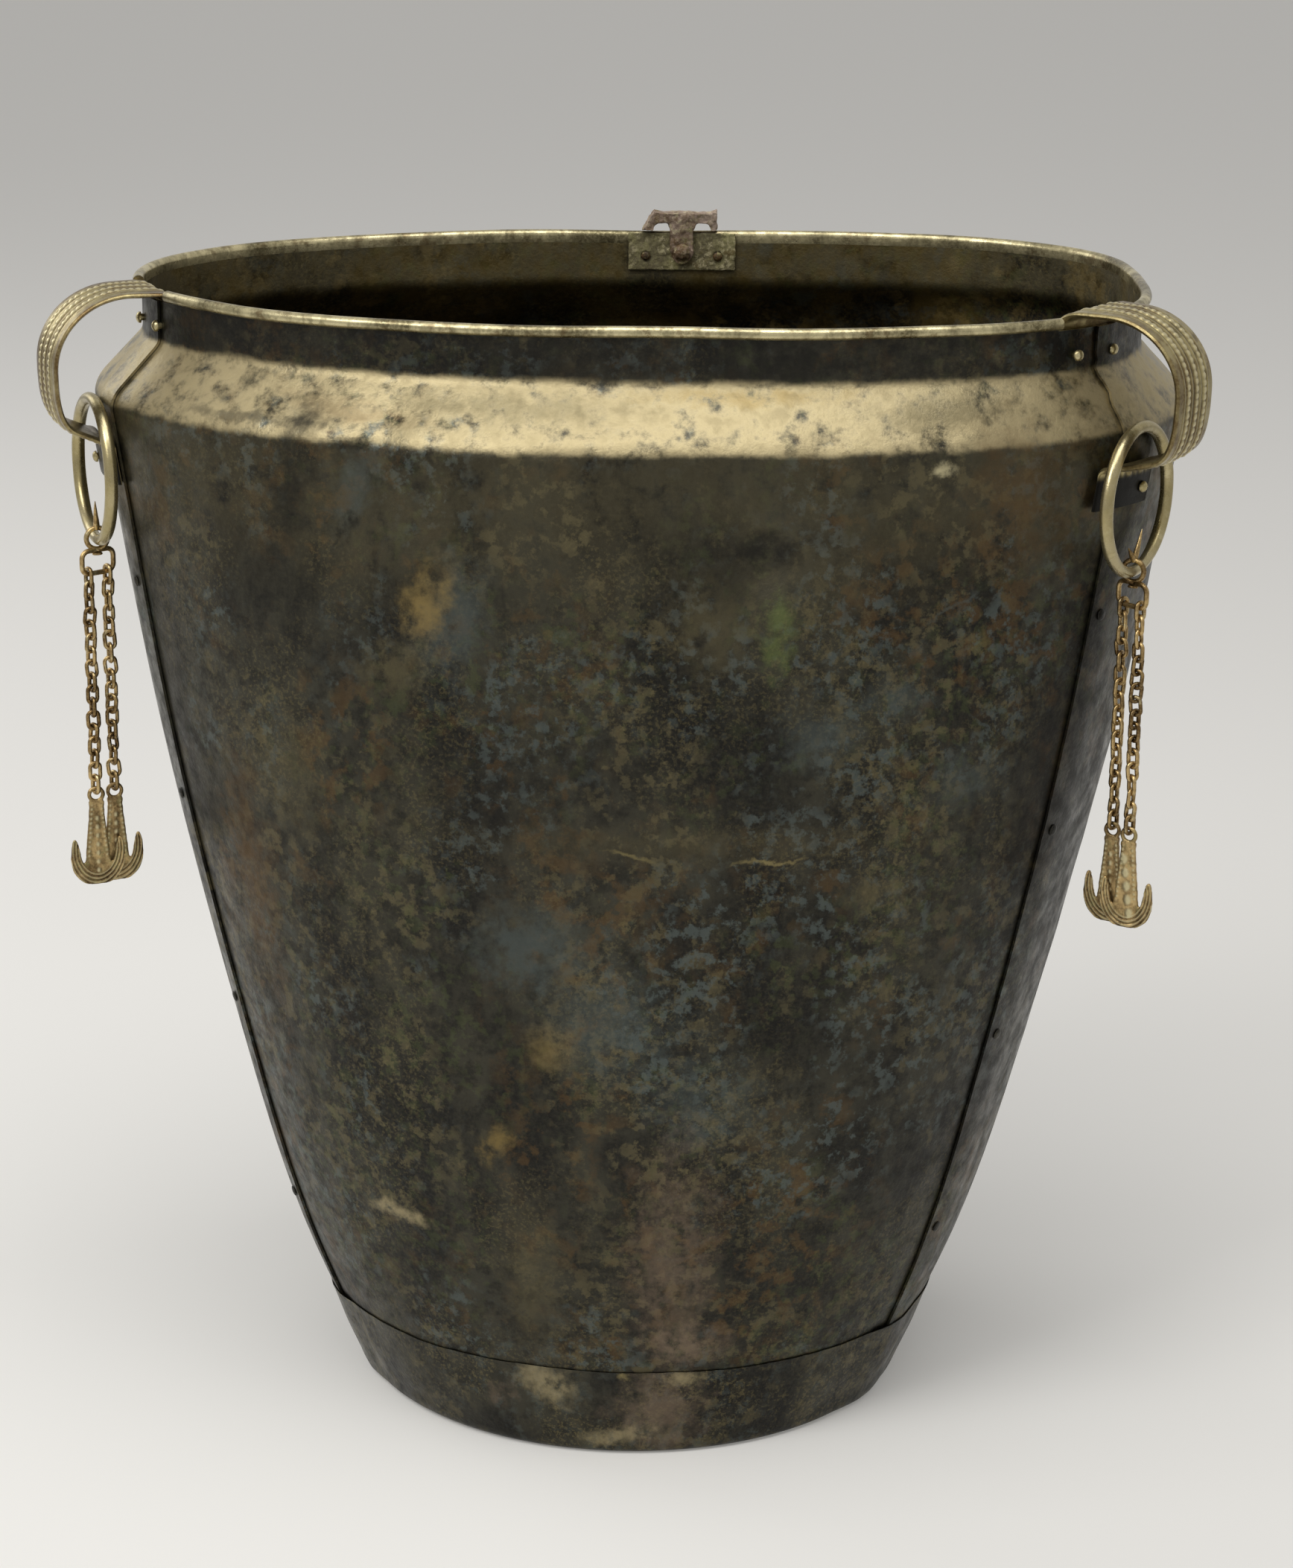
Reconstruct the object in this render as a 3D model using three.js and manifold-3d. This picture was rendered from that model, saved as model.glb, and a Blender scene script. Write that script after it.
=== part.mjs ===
// Bronze situla: a bucket of two lapped sheets in a base pan, with strap handles, rings and chain pendants.
// Millimetres, +Z up, front towards -Y, origin at the middle of the flat underside.
import * as THREE from "three";
import * as BufferGeometryUtils from "three/addons/utils/BufferGeometryUtils.js";
import Module from "manifold-3d";

const wasm = await Module();
wasm.setup();

// Sheet metal
const sheet_thickness = 0.9;
const piece_gap = 0.3;

// Vessel heights above the ground
const rim_height = 400;
const neck_length = 19;
const shoulder_drop = 18.5;
const belly_height = 240;
const waist_height = 120;
const low_height = 60;

// Vessel plan: half width to each side, depth to the front and to the back
const mouth_half_width = 171.5;
const mouth_front_depth = 98;
const mouth_back_depth = 98;
const shoulder_side_run = 17.5;
const shoulder_front_run = 18;
const belly_half_width = 168;
const belly_front_depth = 122;
const belly_back_depth = 126;
const waist_half_width = 140;
const waist_front_depth = 115;
const waist_back_depth = 117;
const low_half_width = 122.5;
const low_front_depth = 105;
const low_back_depth = 106;
const foot_half_width = 97;
const foot_half_depth = 95;

// Squareness of each quarter of the pressed mouth, where 2 is an ellipse
const front_left_squareness = 2.05;
const front_right_squareness = 2.8;
const back_right_squareness = 3.6;
const back_left_squareness = 2.05;
const foot_squareness = 2;

// The body under the shoulder is no squarer than this
const body_squareness = 2.4;

// Radii that soften the shoulder edge and the foot of the neck
const shoulder_corner = 4;
const neck_corner = 2;

// Strap handles: place round the rim, and how far each one turns from the wall's normal there, in degrees
const right_handle_place = -34.2;
const left_handle_place = -165;
const right_handle_twist = 15.8;
const left_handle_twist = -3.4;

// Beside its handle: where each strap's foot and each lapped seam lie, in degrees round the vessel
const right_foot_shift = 0.4;
const left_foot_shift = -1;
const right_seam_shift = -0.8;
const left_seam_shift = 5;

// Lapped seams, where the back sheet lies over the front sheet
const lap_width = 11;
const lap_ramp_width = 15;

// Rolled rim on its core wires
const core_wire_radius = 0.75;
const roll_end_angle = -110;
const roll_steps = 5;

// Base pan
const pan_thickness = 1.2;
const pan_height = 34;
const pan_foot_radius = 3;

// Straps
const strap_thickness = 2;
const strap_rim_width = 32;
const strap_width = 28;
const strap_rib_height = 0.6;
const right_strap_past_ring = 17.2;
const left_strap_past_ring = 14.8;
const right_strap_rise = 0.3;
const left_strap_rise = -2.8;
const strap_arc_drop = 24.5;
const strap_arc_run = 26;
const strap_rim_round = 5;
const strap_bar_round = 8;
const strap_foot_round = 3;
const right_bar_drop = 45.3;
const left_bar_drop = 48.3;
const strap_bar_slope = 3.4;
const strap_inner_plate_length = 12;
const strap_outer_plate_length = 11;
const strap_blend = 14;

// Rivets
const rivet_shank_radius = 1.2;
const rivet_gap = 0.4;
const rivet_head_radius = 2;
const rivet_head_height = 1.6;
const rivet_tail_height = 0.8;
const seam_rivet_head_height = 0.6;
const handle_rivet_spacing = 17.5;
const handle_rivet_inset = 8.5;
const seam_rivets = 4;
const hole_length = 24;

// Rings, each hanging clear of the wall on its strap
const ring_radius = 24.2;
const ring_bar_radius = 2.3;
const ring_wall_gap = 0.3;
const ring_slip = 1.5;
const ring_sides = 24;

// Wire yokes that carry the chains
const yoke_wire_radius = 0.9;
const yoke_eye_slack = 0.5;
const yoke_loop_half_width = 6.2;
const yoke_loop_half_height = 4;
const yoke_loop_corner = 1.9;
const yoke_tail_length = 10;
const yoke_tail_lean = 3.2;
const yoke_short_tail_length = 4.5;
const yoke_short_tail_lean = -3;

// Chains
const link_wire_radius = 0.7;
const link_half_length = 2.9;
const link_half_width = 1.85;
const link_corner = 1.05;
const link_fuse = 0.3;
const upper_links = 9;
const lower_links = 8;
const strand_spacing = 7.2;
const strand_nesting = 2.4;

// Anchor pendants
const pendant_thickness = 1.6;
const pendant_eye_radius = 1.7;
const pendant_eye_wall = 1.5;
const pendant_drop = 33;
const pendant_half_width = 9.6;
const pendant_prong_rise = 17;
const pendant_neck_half_width = 3.1;
const pendant_foot_half_width = 4.6;

// Lid bracket on the back of the rim, its middle this far to the right of the vessel's middle
const bracket_across = 15.3;
const bracket_plate_width = 40;
const bracket_plate_height = 14;
const bracket_plate_thickness = 1.4;
const bracket_block_width = 26;
const bracket_block_height = 7.5;
const bracket_block_depth = 8;
const bracket_block_overhang = 2;
const bracket_block_slope = 4.5;
const bracket_lip_width = 3;
const bracket_lip_height = 0.8;
const bracket_leg_width = 2.5;
const bracket_leg_taper = 1;
const bracket_tongue_width = 9;
const bracket_tongue_length = 12.2;
const bracket_tongue_thickness = 2;
const bracket_stud_radius = 3.6;
const bracket_rivet_spacing = 26.6;

// Columns round the vessel are at most this many degrees apart
const column_step = 8.6;

const full_turn = 360;
const degree = Math.PI / 180;
const up = new THREE.Vector3(0, 0, 1);
const shoulder_height = rim_height - neck_length - shoulder_drop;
const neck_height = rim_height - neck_length;
const roll_inner_radius = core_wire_radius + piece_gap;
const roll_outer_radius = roll_inner_radius + sheet_thickness;
const roll_height = rim_height - roll_outer_radius;
const neck_top = roll_height - roll_outer_radius - 2 * piece_gap;
const sheet_bottom = pan_thickness + piece_gap;
const lap_step = sheet_thickness + piece_gap;
const right_seam = right_handle_place + right_seam_shift;
const left_seam = left_handle_place + left_seam_shift;

function bronze(color, roughness) {
  return new THREE.MeshStandardMaterial({ color, roughness, metalness: 0.9 });
}

const sheet_bronze = bronze(0x5b5238, 0.5);
const pan_bronze = bronze(0x6a5c3c, 0.5);
const strap_bronze = bronze(0x8f8050, 0.4);
const rivet_bronze = bronze(0x9a8a58, 0.4);
const ring_bronze = bronze(0x94845a, 0.4);
const chain_bronze = bronze(0xa08a58, 0.45);
const pendant_bronze = bronze(0x8e7b4a, 0.5);
const bracket_bronze = bronze(0x6f7a55, 0.6);

const situla = new THREE.Group();

function add(name, geometry, material, parent = situla) {
  const mesh = new THREE.Mesh(geometry, material);
  mesh.name = name;
  parent.add(mesh);
  return mesh;
}

// Solids

function signed_volume(points, faces) {
  return faces.reduce((sum, [a, b, c]) => {
    return sum + points[a].dot(points[b].clone().cross(points[c])) / 6;
  }, 0);
}

function solid_of(points, faces) {
  const flip = signed_volume(points, faces) < 0;
  const geometry = new THREE.BufferGeometry();
  geometry.setAttribute("position", new THREE.Float32BufferAttribute(points.flatMap((p) => p.toArray()), 3));
  geometry.setIndex(faces.flatMap(([a, b, c]) => (flip ? [a, c, b] : [a, b, c])));
  return geometry;
}

// Joins rings of points into one closed solid; a solid that isn't a loop gets its two ends filled.
// Each four-sided cell is split along one of its two diagonals.
function loft(rings, is_loop, end_outline, is_turned = () => false) {
  const count = rings[0].length;
  const points = rings.flat();
  const faces = [];
  const spans = is_loop ? rings.length : rings.length - 1;
  for (let span = 0; span < spans; span += 1) {
    const near = span * count;
    const far = ((span + 1) % rings.length) * count;
    for (let i = 0; i < count; i += 1) {
      const next = (i + 1) % count;
      if (is_turned(span, i)) {
        faces.push([near + i, near + next, far + i], [near + next, far + next, far + i]);
      } else {
        faces.push([near + i, near + next, far + next], [near + i, far + next, far + i]);
      }
    }
  }
  if (!is_loop) {
    const last = (rings.length - 1) * count;
    for (const [a, b, c] of THREE.ShapeUtils.triangulateShape(end_outline, [])) {
      faces.push(...same_turn(end_outline, a, b, c, last));
    }
  }
  return solid_of(points, faces);
}

// The two end faces over one triangle of the end outline, turned to close the sides
function same_turn(outline, a, b, c, last) {
  const clockwise = THREE.ShapeUtils.isClockWise(outline);
  const [p, q, r] = clockwise ? [a, c, b] : [a, b, c];
  const turn = (outline[q].x - outline[p].x) * (outline[r].y - outline[p].y)
    - (outline[q].y - outline[p].y) * (outline[r].x - outline[p].x);
  const forward = clockwise ? turn < 0 : turn > 0;
  const [x, y, z] = forward ? [p, q, r] : [p, r, q];
  return [[x, z, y], [last + x, last + y, last + z]];
}

function circle_outline(radius, sides) {
  return Array.from({ length: sides }, (_, i) => {
    const angle = (i / sides) * 2 * Math.PI;
    return new THREE.Vector2(radius * Math.cos(angle), radius * Math.sin(angle));
  });
}

function bare(geometry) {
  const copy = geometry.clone();
  for (const name of Object.keys(copy.attributes)) {
    if (name !== "position") {
      copy.deleteAttribute(name);
    }
  }
  return BufferGeometryUtils.mergeVertices(copy);
}

function to_manifold(geometry) {
  const merged = bare(geometry);
  return new wasm.Manifold(new wasm.Mesh({
    numProp: 3,
    vertProperties: new Float32Array(merged.attributes.position.array),
    triVerts: new Uint32Array(merged.index.array),
  }));
}

function from_manifold(solid) {
  const mesh = solid.getMesh();
  const geometry = new THREE.BufferGeometry();
  geometry.setAttribute("position", new THREE.BufferAttribute(new Float32Array(mesh.vertProperties), 3));
  geometry.setIndex(new THREE.BufferAttribute(new Uint32Array(mesh.triVerts), 1));
  return geometry;
}

function join(geometries) {
  return from_manifold(geometries.map(to_manifold).reduce((all, next) => all.add(next)));
}

function cut(geometry, cutters) {
  return from_manifold(cutters.map(to_manifold).reduce((all, next) => all.subtract(next), to_manifold(geometry)));
}

// Plan of the vessel

function smooth(value) {
  const k = THREE.MathUtils.clamp(value, 0, 1);
  return k * k * (3 - 2 * k);
}

// Half width, front depth and back depth at the stations of the wall, from the foot to the shoulder edge
const wall_stations = [
  [0, foot_half_width, foot_half_depth, foot_half_depth],
  [low_height, low_half_width, low_front_depth, low_back_depth],
  [waist_height, waist_half_width, waist_front_depth, waist_back_depth],
  [belly_height, belly_half_width, belly_front_depth, belly_back_depth],
  [
    shoulder_height,
    mouth_half_width + shoulder_side_run,
    mouth_front_depth + shoulder_front_run,
    mouth_back_depth + shoulder_front_run,
  ],
];

function station_slope(index, column) {
  const before = wall_stations[Math.max(index - 1, 0)];
  const after = wall_stations[Math.min(index + 1, wall_stations.length - 1)];
  return (after[column] - before[column]) / (after[0] - before[0]);
}

function wall_size(height, column) {
  const last = wall_stations.length - 2;
  const index = Math.min(wall_stations.filter((station) => station[0] <= height).length - 1, last);
  const low = wall_stations[Math.max(index, 0)];
  const high = wall_stations[Math.max(index, 0) + 1];
  const span = high[0] - low[0];
  const k = (height - low[0]) / span;
  const rise = high[column] - low[column];
  const start = station_slope(Math.max(index, 0), column) * span;
  const end = station_slope(Math.max(index, 0) + 1, column) * span;
  return low[column] + start * k + (3 * rise - 2 * start - end) * k ** 2 + (start + end - 2 * rise) * k ** 3;
}

const mouth_sizes = [0, mouth_half_width, mouth_front_depth, mouth_back_depth];

function sharp_size(height, column) {
  if (height <= shoulder_height) {
    return wall_size(height, column);
  }
  const k = Math.min((height - shoulder_height) / shoulder_drop, 1);
  return THREE.MathUtils.lerp(wall_size(shoulder_height, column), mouth_sizes[column], k);
}

// A size of the plan with the corners at the shoulder edge and the neck rounded off
function plan_size(height, column) {
  for (const [corner_height, corner] of [[shoulder_height, shoulder_corner], [neck_height, neck_corner]]) {
    if (Math.abs(height - corner_height) < corner) {
      const u = (height - corner_height + corner) / (2 * corner);
      const low = sharp_size(corner_height - corner, column);
      const middle = sharp_size(corner_height, column);
      const high = sharp_size(corner_height + corner, column);
      return (1 - u) ** 2 * low + 2 * u * (1 - u) * middle + u ** 2 * high;
    }
  }
  return sharp_size(height, column);
}

function squareness(angle, height) {
  const is_right = Math.cos(angle) >= 0;
  const is_back = Math.sin(angle) >= 0;
  const front = is_right ? front_right_squareness : front_left_squareness;
  const back = is_right ? back_right_squareness : back_left_squareness;
  const mouth = is_back ? back : front;
  const body = THREE.MathUtils.lerp(foot_squareness, Math.min(mouth, body_squareness), height / shoulder_height);
  const rise = smooth((height - shoulder_height) / shoulder_drop);
  return height < shoulder_height ? body : THREE.MathUtils.lerp(Math.min(mouth, body_squareness), mouth, rise);
}

// A point of the vessel's outer face: place in degrees round the plan, and height
function face_point(place, height) {
  const angle = place * degree;
  const power = 2 / squareness(angle, height);
  const depth = plan_size(height, Math.sin(angle) >= 0 ? 3 : 2);
  const x = plan_size(height, 1) * Math.sign(Math.cos(angle)) * Math.abs(Math.cos(angle)) ** power;
  const y = depth * Math.sign(Math.sin(angle)) * Math.abs(Math.sin(angle)) ** power;
  return new THREE.Vector3(x, y, height);
}

function face_normal(place, height) {
  const along = face_point(place + 0.5, height).sub(face_point(place - 0.5, height));
  const low = Math.max(height - 0.5, 0);
  const climb = face_point(place, low + 1).sub(face_point(place, low));
  return along.cross(climb).normalize();
}

function wall_point(place, height, offset) {
  return face_point(place, height).addScaledVector(face_normal(place, height), offset);
}

// The place that lies a distance along the plan from another place
function place_beside(place, distance, height) {
  const steps = 16;
  let found = place;
  for (let i = 0; i < steps; i += 1) {
    const per_degree = face_point(found + 0.5, height).distanceTo(face_point(found - 0.5, height));
    found += distance / steps / per_degree;
  }
  return found;
}

// Columns round the vessel

const left_seam_round = left_seam + full_turn;
const right_lap_end = place_beside(right_seam, lap_width, belly_height);
const left_lap_end = place_beside(left_seam, -lap_width, belly_height);
const half_strap_room = strap_rim_width / 2 + piece_gap;
const front_roll_from = Math.max(
  place_beside(left_handle_place, half_strap_room, rim_height),
  place_beside(left_seam, 2 * piece_gap, rim_height),
);
const front_roll_to = place_beside(right_handle_place, -half_strap_room, rim_height);
const back_roll_from = place_beside(right_handle_place, half_strap_room, rim_height);
const back_roll_to = place_beside(left_handle_place, -half_strap_room, rim_height) + full_turn;

function columns_between(places) {
  const ordered = [...places].sort((a, b) => a - b);
  const columns = [ordered[0]];
  for (const [i, place] of ordered.slice(1).entries()) {
    const steps = Math.ceil((place - ordered[i]) / column_step);
    for (let step = 1; step <= steps; step += 1) {
      columns.push(THREE.MathUtils.lerp(ordered[i], place, step / steps));
    }
  }
  return columns;
}

// The place on the back of the neck that lies this far to the right of the vessel's middle
function back_place_at(across) {
  let low = full_turn / 8;
  let high = (full_turn * 3) / 8;
  for (let step = 0; step < 40; step += 1) {
    const middle = (low + high) / 2;
    if (face_point(middle, neck_height).x > across) {
      low = middle;
    } else {
      high = middle;
    }
  }
  return (low + high) / 2;
}

const bracket_place = back_place_at(bracket_across);
const bracket_from = back_place_at(bracket_across + bracket_plate_width / 2);
const bracket_to = back_place_at(bracket_across - bracket_plate_width / 2);
const bracket_rivet_places = [0.5, -0.5].map((side) => back_place_at(bracket_across + side * bracket_rivet_spacing));

const front_places = [left_lap_end, left_seam, front_roll_from, front_roll_to, right_seam, right_lap_end];
const back_places = [
  right_seam,
  right_lap_end,
  back_roll_from,
  bracket_from,
  bracket_rivet_places[0],
  bracket_place,
  bracket_rivet_places[1],
  bracket_to,
  back_roll_to,
  left_lap_end + full_turn,
  left_seam_round,
];
const front_columns = columns_between(front_places);
const back_columns = columns_between(back_places);
const all_columns = [
  ...front_columns.filter((place) => place >= left_seam && place < right_seam),
  ...back_columns.filter((place) => place < left_seam_round),
];

// How far a place is past a seam's lap, in millimetres, where 0 is in the lap
function distance_past_lap(place, seam, lap_end) {
  const per_degree = face_point(seam + 0.5, belly_height).distanceTo(face_point(seam - 0.5, belly_height));
  const low = Math.min(seam, lap_end);
  const high = Math.max(seam, lap_end);
  const turned = THREE.MathUtils.euclideanModulo(place - low, full_turn);
  return Math.max(Math.min(turned - (high - low), full_turn - turned), 0) * per_degree;
}

// How far the outer layer stands off the plain wall at a place, to pass over the lap
function lap_offset(place) {
  const right = distance_past_lap(place, right_seam, right_lap_end);
  const left = distance_past_lap(place, left_seam, left_lap_end);
  return lap_step * Math.max(1 - Math.min(right, left) / lap_ramp_width, 0);
}

// Body sheets

const wall_rows = 5;
const row_heights = [
  sheet_bottom,
  pan_height,
  ...Array.from({ length: wall_rows }, (_, i) => {
    const top = shoulder_height - shoulder_corner;
    return THREE.MathUtils.lerp(pan_height, top, (i + 1) / wall_rows);
  }),
  shoulder_height,
  shoulder_height + shoulder_corner,
  neck_height - neck_corner,
  neck_height,
  neck_height + neck_corner,
  neck_top,
];

// The step of a rising list that holds a value, and how far along the step the value lies
function step_of(values, value) {
  const index = THREE.MathUtils.clamp(values.filter((v) => v <= value).length - 1, 0, values.length - 2);
  return [index, (value - values[index]) / (values[index + 1] - values[index])];
}

// A point on the flat facets of the wall, between the columns and rows round it
function facet_point(place, height, offset_at) {
  const around = [...all_columns, all_columns[0] + full_turn];
  const turned = THREE.MathUtils.euclideanModulo(place - around[0], full_turn) + around[0];
  const [column, across] = step_of(around, turned);
  const [row, upward] = step_of(row_heights, height);
  const corner = (i, j) => wall_point(around[i], row_heights[j], offset_at(around[i]));
  const low = corner(column, row).lerp(corner(column + 1, row), across);
  const high = corner(column, row + 1).lerp(corner(column + 1, row + 1), across);
  return low.lerp(high, upward);
}

function wall_ring(place, heights, outside, inside) {
  const outer = heights.map((height) => wall_point(place, height, outside));
  const inner = heights.map((height) => wall_point(place, height, inside));
  return [...outer, ...inner.reverse()];
}

// The outline of a ring as distance from its first point and height, to fill the ends of a loft
function ring_outline(ring) {
  const out = face_outward(ring);
  return ring.map((point) => new THREE.Vector2(point.clone().sub(ring[0]).dot(out), point.z));
}

function face_outward(ring) {
  const across = ring[0].clone().sub(ring[ring.length - 1]).setZ(0);
  return across.normalize();
}

function roll_ring(place, offset) {
  const foot = wall_point(place, neck_top, offset);
  const out = face_normal(place, neck_top + 1).setZ(0).normalize();
  const at = (distance, height) => foot.clone().addScaledVector(out, distance).setZ(height);
  const angles = Array.from({ length: roll_steps + 1 }, (_, i) => {
    return THREE.MathUtils.lerp(180, roll_end_angle, i / roll_steps) * degree;
  });
  const round = (radius, angle) => at(
    roll_inner_radius + radius * Math.cos(angle),
    roll_height + radius * Math.sin(angle),
  );
  const inner = angles.map((angle) => round(roll_inner_radius, angle));
  const outer = angles.map((angle) => round(roll_outer_radius, angle)).reverse();
  return [foot, ...inner, ...outer, wall_point(place, neck_top, offset - sheet_thickness)];
}

function rim_roll(columns, from, to, offset_at) {
  const used = columns.filter((place) => place >= from - 1e-6 && place <= to + 1e-6);
  const rings = used.map((place) => roll_ring(place, offset_at(place)));
  return loft(rings, false, ring_outline(rings[0]));
}

function body_sheet(columns, roll_from, roll_to, offset_at) {
  const rings = columns.map((place) => {
    const offset = offset_at(place);
    return wall_ring(place, row_heights, offset, offset - sheet_thickness);
  });
  const wall = loft(rings, false, ring_outline(rings[0]), (span, i) => i >= row_heights.length);
  return join([wall, rim_roll(columns, roll_from, roll_to, offset_at)]);
}

function core_wire(columns, from, to) {
  const used = columns.filter((place) => place >= from - 1e-6 && place <= to + 1e-6);
  const outline = circle_outline(core_wire_radius, 6);
  const rings = used.map((place) => {
    const foot = wall_point(place, neck_top, 0);
    const out = face_normal(place, neck_top + 1).setZ(0).normalize();
    return outline.map((p) => foot.clone().addScaledVector(out, roll_inner_radius + p.x).setZ(roll_height + p.y));
  });
  return loft(rings, false, outline);
}

// Base pan: a flat floor with a wall that follows the sheets up and over their laps

function pan_ring(height, offset) {
  return all_columns.map((place) => wall_point(place, height, lap_offset(place) + offset));
}

function pan_floor_ring(height, inset) {
  return all_columns.map((place) => {
    const point = wall_point(place, height, lap_offset(place));
    return point.addScaledVector(face_normal(place, height).setZ(0).normalize(), -inset).setZ(height);
  });
}

function base_pan() {
  const outer_face = piece_gap + pan_thickness;
  const rings = [
    pan_floor_ring(0, pan_foot_radius - outer_face),
    pan_floor_ring(pan_foot_radius * 0.3, pan_foot_radius * 0.3 - outer_face),
    pan_ring(pan_foot_radius, outer_face),
    pan_ring(pan_height, outer_face),
    pan_ring(pan_height, piece_gap),
    pan_ring(pan_thickness, piece_gap),
  ];
  const floor_outline = rings[0].map((point) => new THREE.Vector2(point.x, point.y));
  return loft(rings, false, floor_outline, (span) => span >= 5);
}

// Rivets stand on the wall normal: a domed head on one side of the stack and a small tail on the other

function rivet_geometry(stack, head_radius, head_height, sides) {
  const tail_radius = rivet_head_radius * 0.8;
  const profile = [
    [0, head_height],
    [head_radius * 0.6, head_height * 0.8],
    [head_radius, 0],
    [rivet_shank_radius, 0],
    [rivet_shank_radius, -stack],
    [tail_radius, -stack],
    [0, -stack - rivet_tail_height],
  ];
  const lathe = new THREE.LatheGeometry(profile.map(([r, y]) => new THREE.Vector2(r, y)).reverse(), sides);
  return bare(lathe.rotateX(Math.PI / 2));
}

function hole_geometry(site, radius) {
  const cutter = new THREE.CylinderGeometry(radius, radius, hole_length, 8).rotateX(Math.PI / 2);
  return cutter.applyMatrix4(site_matrix(site, 0));
}

function site_matrix(site, offset) {
  const normal = face_normal(site.place, site.height);
  const turn = new THREE.Quaternion().setFromUnitVectors(up, normal);
  const point = facet_point(site.place, site.height, () => 0).addScaledVector(normal, offset);
  return new THREE.Matrix4().compose(point, turn, new THREE.Vector3(1, 1, 1));
}

// A rivet between two distances from the vessel's face, outer then inner
function add_rivet(name, site, outside, inside, head_height) {
  const stack = outside - inside + 2 * piece_gap;
  const sides = head_height < rivet_head_height ? 6 : 8;
  const geometry = rivet_geometry(stack, rivet_head_radius, head_height, sides);
  add(name, geometry, rivet_bronze).applyMatrix4(site_matrix(site, outside + piece_gap));
}

// Strap handles, from which the rings hang

const ring_inner_radius = ring_radius - ring_bar_radius;
const ring_rest_drop = Math.sqrt(ring_inner_radius ** 2 - (strap_width / 2 + ring_slip) ** 2);
const plate_inside = -sheet_thickness - piece_gap - strap_thickness / 2;
const plate_outside = lap_step + piece_gap + strap_thickness / 2;
const inner_plate = () => plate_inside;
const outer_plate = () => plate_outside;

class Handle {
  constructor({ side, place, foot_shift, twist, past_ring, rise, bar_drop }) {
    this.side = side;
    this.place = place;
    this.foot_place = place + foot_shift;
    this.top = rim_height + rise + strap_thickness / 2;
    this.bar_height = rim_height - bar_drop;
    this.out = face_normal(place, rim_height).setZ(0).normalize().applyAxisAngle(up, twist * degree);
    this.along = up.clone().cross(this.out);
    this.origin = face_point(place, rim_height).setZ(0);
    this.outer_plate_top = this.bar_height - strap_bar_slope - strap_foot_round;
    this.inner_end = { place, height: neck_top, offset_at: inner_plate, width: strap_rim_width };
    this.outer_end = {
      place: this.foot_place,
      height: this.outer_plate_top,
      offset_at: outer_plate,
      width: strap_width,
    };
    this.ring_shift = -Math.sign(this.along.y) * ring_slip;
    this.ring_height = this.strap_top() + piece_gap - ring_rest_drop;
    this.ring_seat = this.wall_reach() + ring_bar_radius + ring_wall_gap;
    this.reach = this.ring_seat + past_ring;
  }

  // Height of the strap's ribbed face where the ring rests on it
  strap_top() {
    return this.bar_height + strap_thickness / 2 + strap_rib_height - strap_bar_slope * 0.3;
  }

  // How far out the wall stands behind the hanging ring
  wall_reach() {
    const reaches = Array.from({ length: ring_sides }, (_, i) => {
      const angle = (i / ring_sides) * 2 * Math.PI;
      const height = this.ring_height + ring_radius * Math.sin(angle);
      const across = this.ring_shift + ring_radius * Math.cos(angle);
      const place = place_beside(this.foot_place, across, height);
      return this.distance_out(wall_point(place, height, lap_offset(place)));
    });
    return Math.max(...reaches);
  }

  distance_out(point) {
    return point.clone().sub(this.origin).dot(this.out);
  }

  // The strap's free run in its own upright plane, as distance out and height
  free_run() {
    const { top, bar_height, reach } = this;
    const start_out = this.distance_out(this.plate_point(this.inner_end, neck_top).at);
    const end_out = this.distance_out(this.plate_point(this.outer_end, this.outer_plate_top).at);
    const path = new THREE.Path();
    path.moveTo(start_out, neck_top);
    path.quadraticCurveTo(start_out, top, start_out + strap_rim_round, top);
    path.lineTo(reach - strap_arc_run, top);
    path.absellipse(reach - strap_arc_run, top - strap_arc_drop, strap_arc_run, strap_arc_drop, Math.PI / 2, 0, true);
    const round = strap_bar_round;
    const foot_height = bar_height - strap_bar_slope;
    path.bezierCurveTo(reach, bar_height + round, reach - round / 4, bar_height + round / 4, reach - round, bar_height);
    path.lineTo(end_out + strap_foot_round, foot_height);
    path.quadraticCurveTo(end_out, foot_height, end_out, this.outer_plate_top);
    return path;
  }

  // Middle points of the strap from the inner plate, over the rim and out, to the outer plate
  spine() {
    const points = [];
    const lift = (v) => this.origin.clone().addScaledVector(this.out, v.x).setZ(v.y);
    const shift_in = this.side_shift(this.inner_end);
    const shift_out = this.side_shift(this.outer_end);
    points.push(this.plate_point(this.inner_end, neck_top - strap_inner_plate_length));
    points.push(this.plate_point(this.inner_end, neck_top - strap_inner_plate_length / 2));
    const run = this.free_run().getPoints(4);
    const kept = run.filter((v, i) => i === 0 || v.distanceTo(run[i - 1]) > 0.05);
    const lengths = [0];
    for (let i = 1; i < kept.length; i += 1) {
      lengths.push(lengths[i - 1] + kept[i].distanceTo(kept[i - 1]));
    }
    const total = lengths[lengths.length - 1];
    for (const [i, v] of kept.entries()) {
      const shift = THREE.MathUtils.lerp(shift_in, shift_out, smooth(lengths[i] / total));
      const ends = Math.min(lengths[i], total - lengths[i]);
      const hug = 1 - smooth(ends / strap_blend);
      const end = lengths[i] < total / 2 ? this.inner_end : this.outer_end;
      points.push({ ...end, at: lift(v).addScaledVector(this.along, shift), hug });
    }
    const bottom = this.outer_plate_top - strap_outer_plate_length;
    points.push(this.plate_point(this.outer_end, (this.outer_plate_top + bottom) / 2));
    points.push(this.plate_point(this.outer_end, bottom));
    return points;
  }

  side_shift(end) {
    return facet_point(end.place, end.height, end.offset_at).sub(this.origin).dot(this.along);
  }

  plate_point(end, height) {
    return { ...end, at: facet_point(end.place, height, end.offset_at), hug: 1, height };
  }

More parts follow.
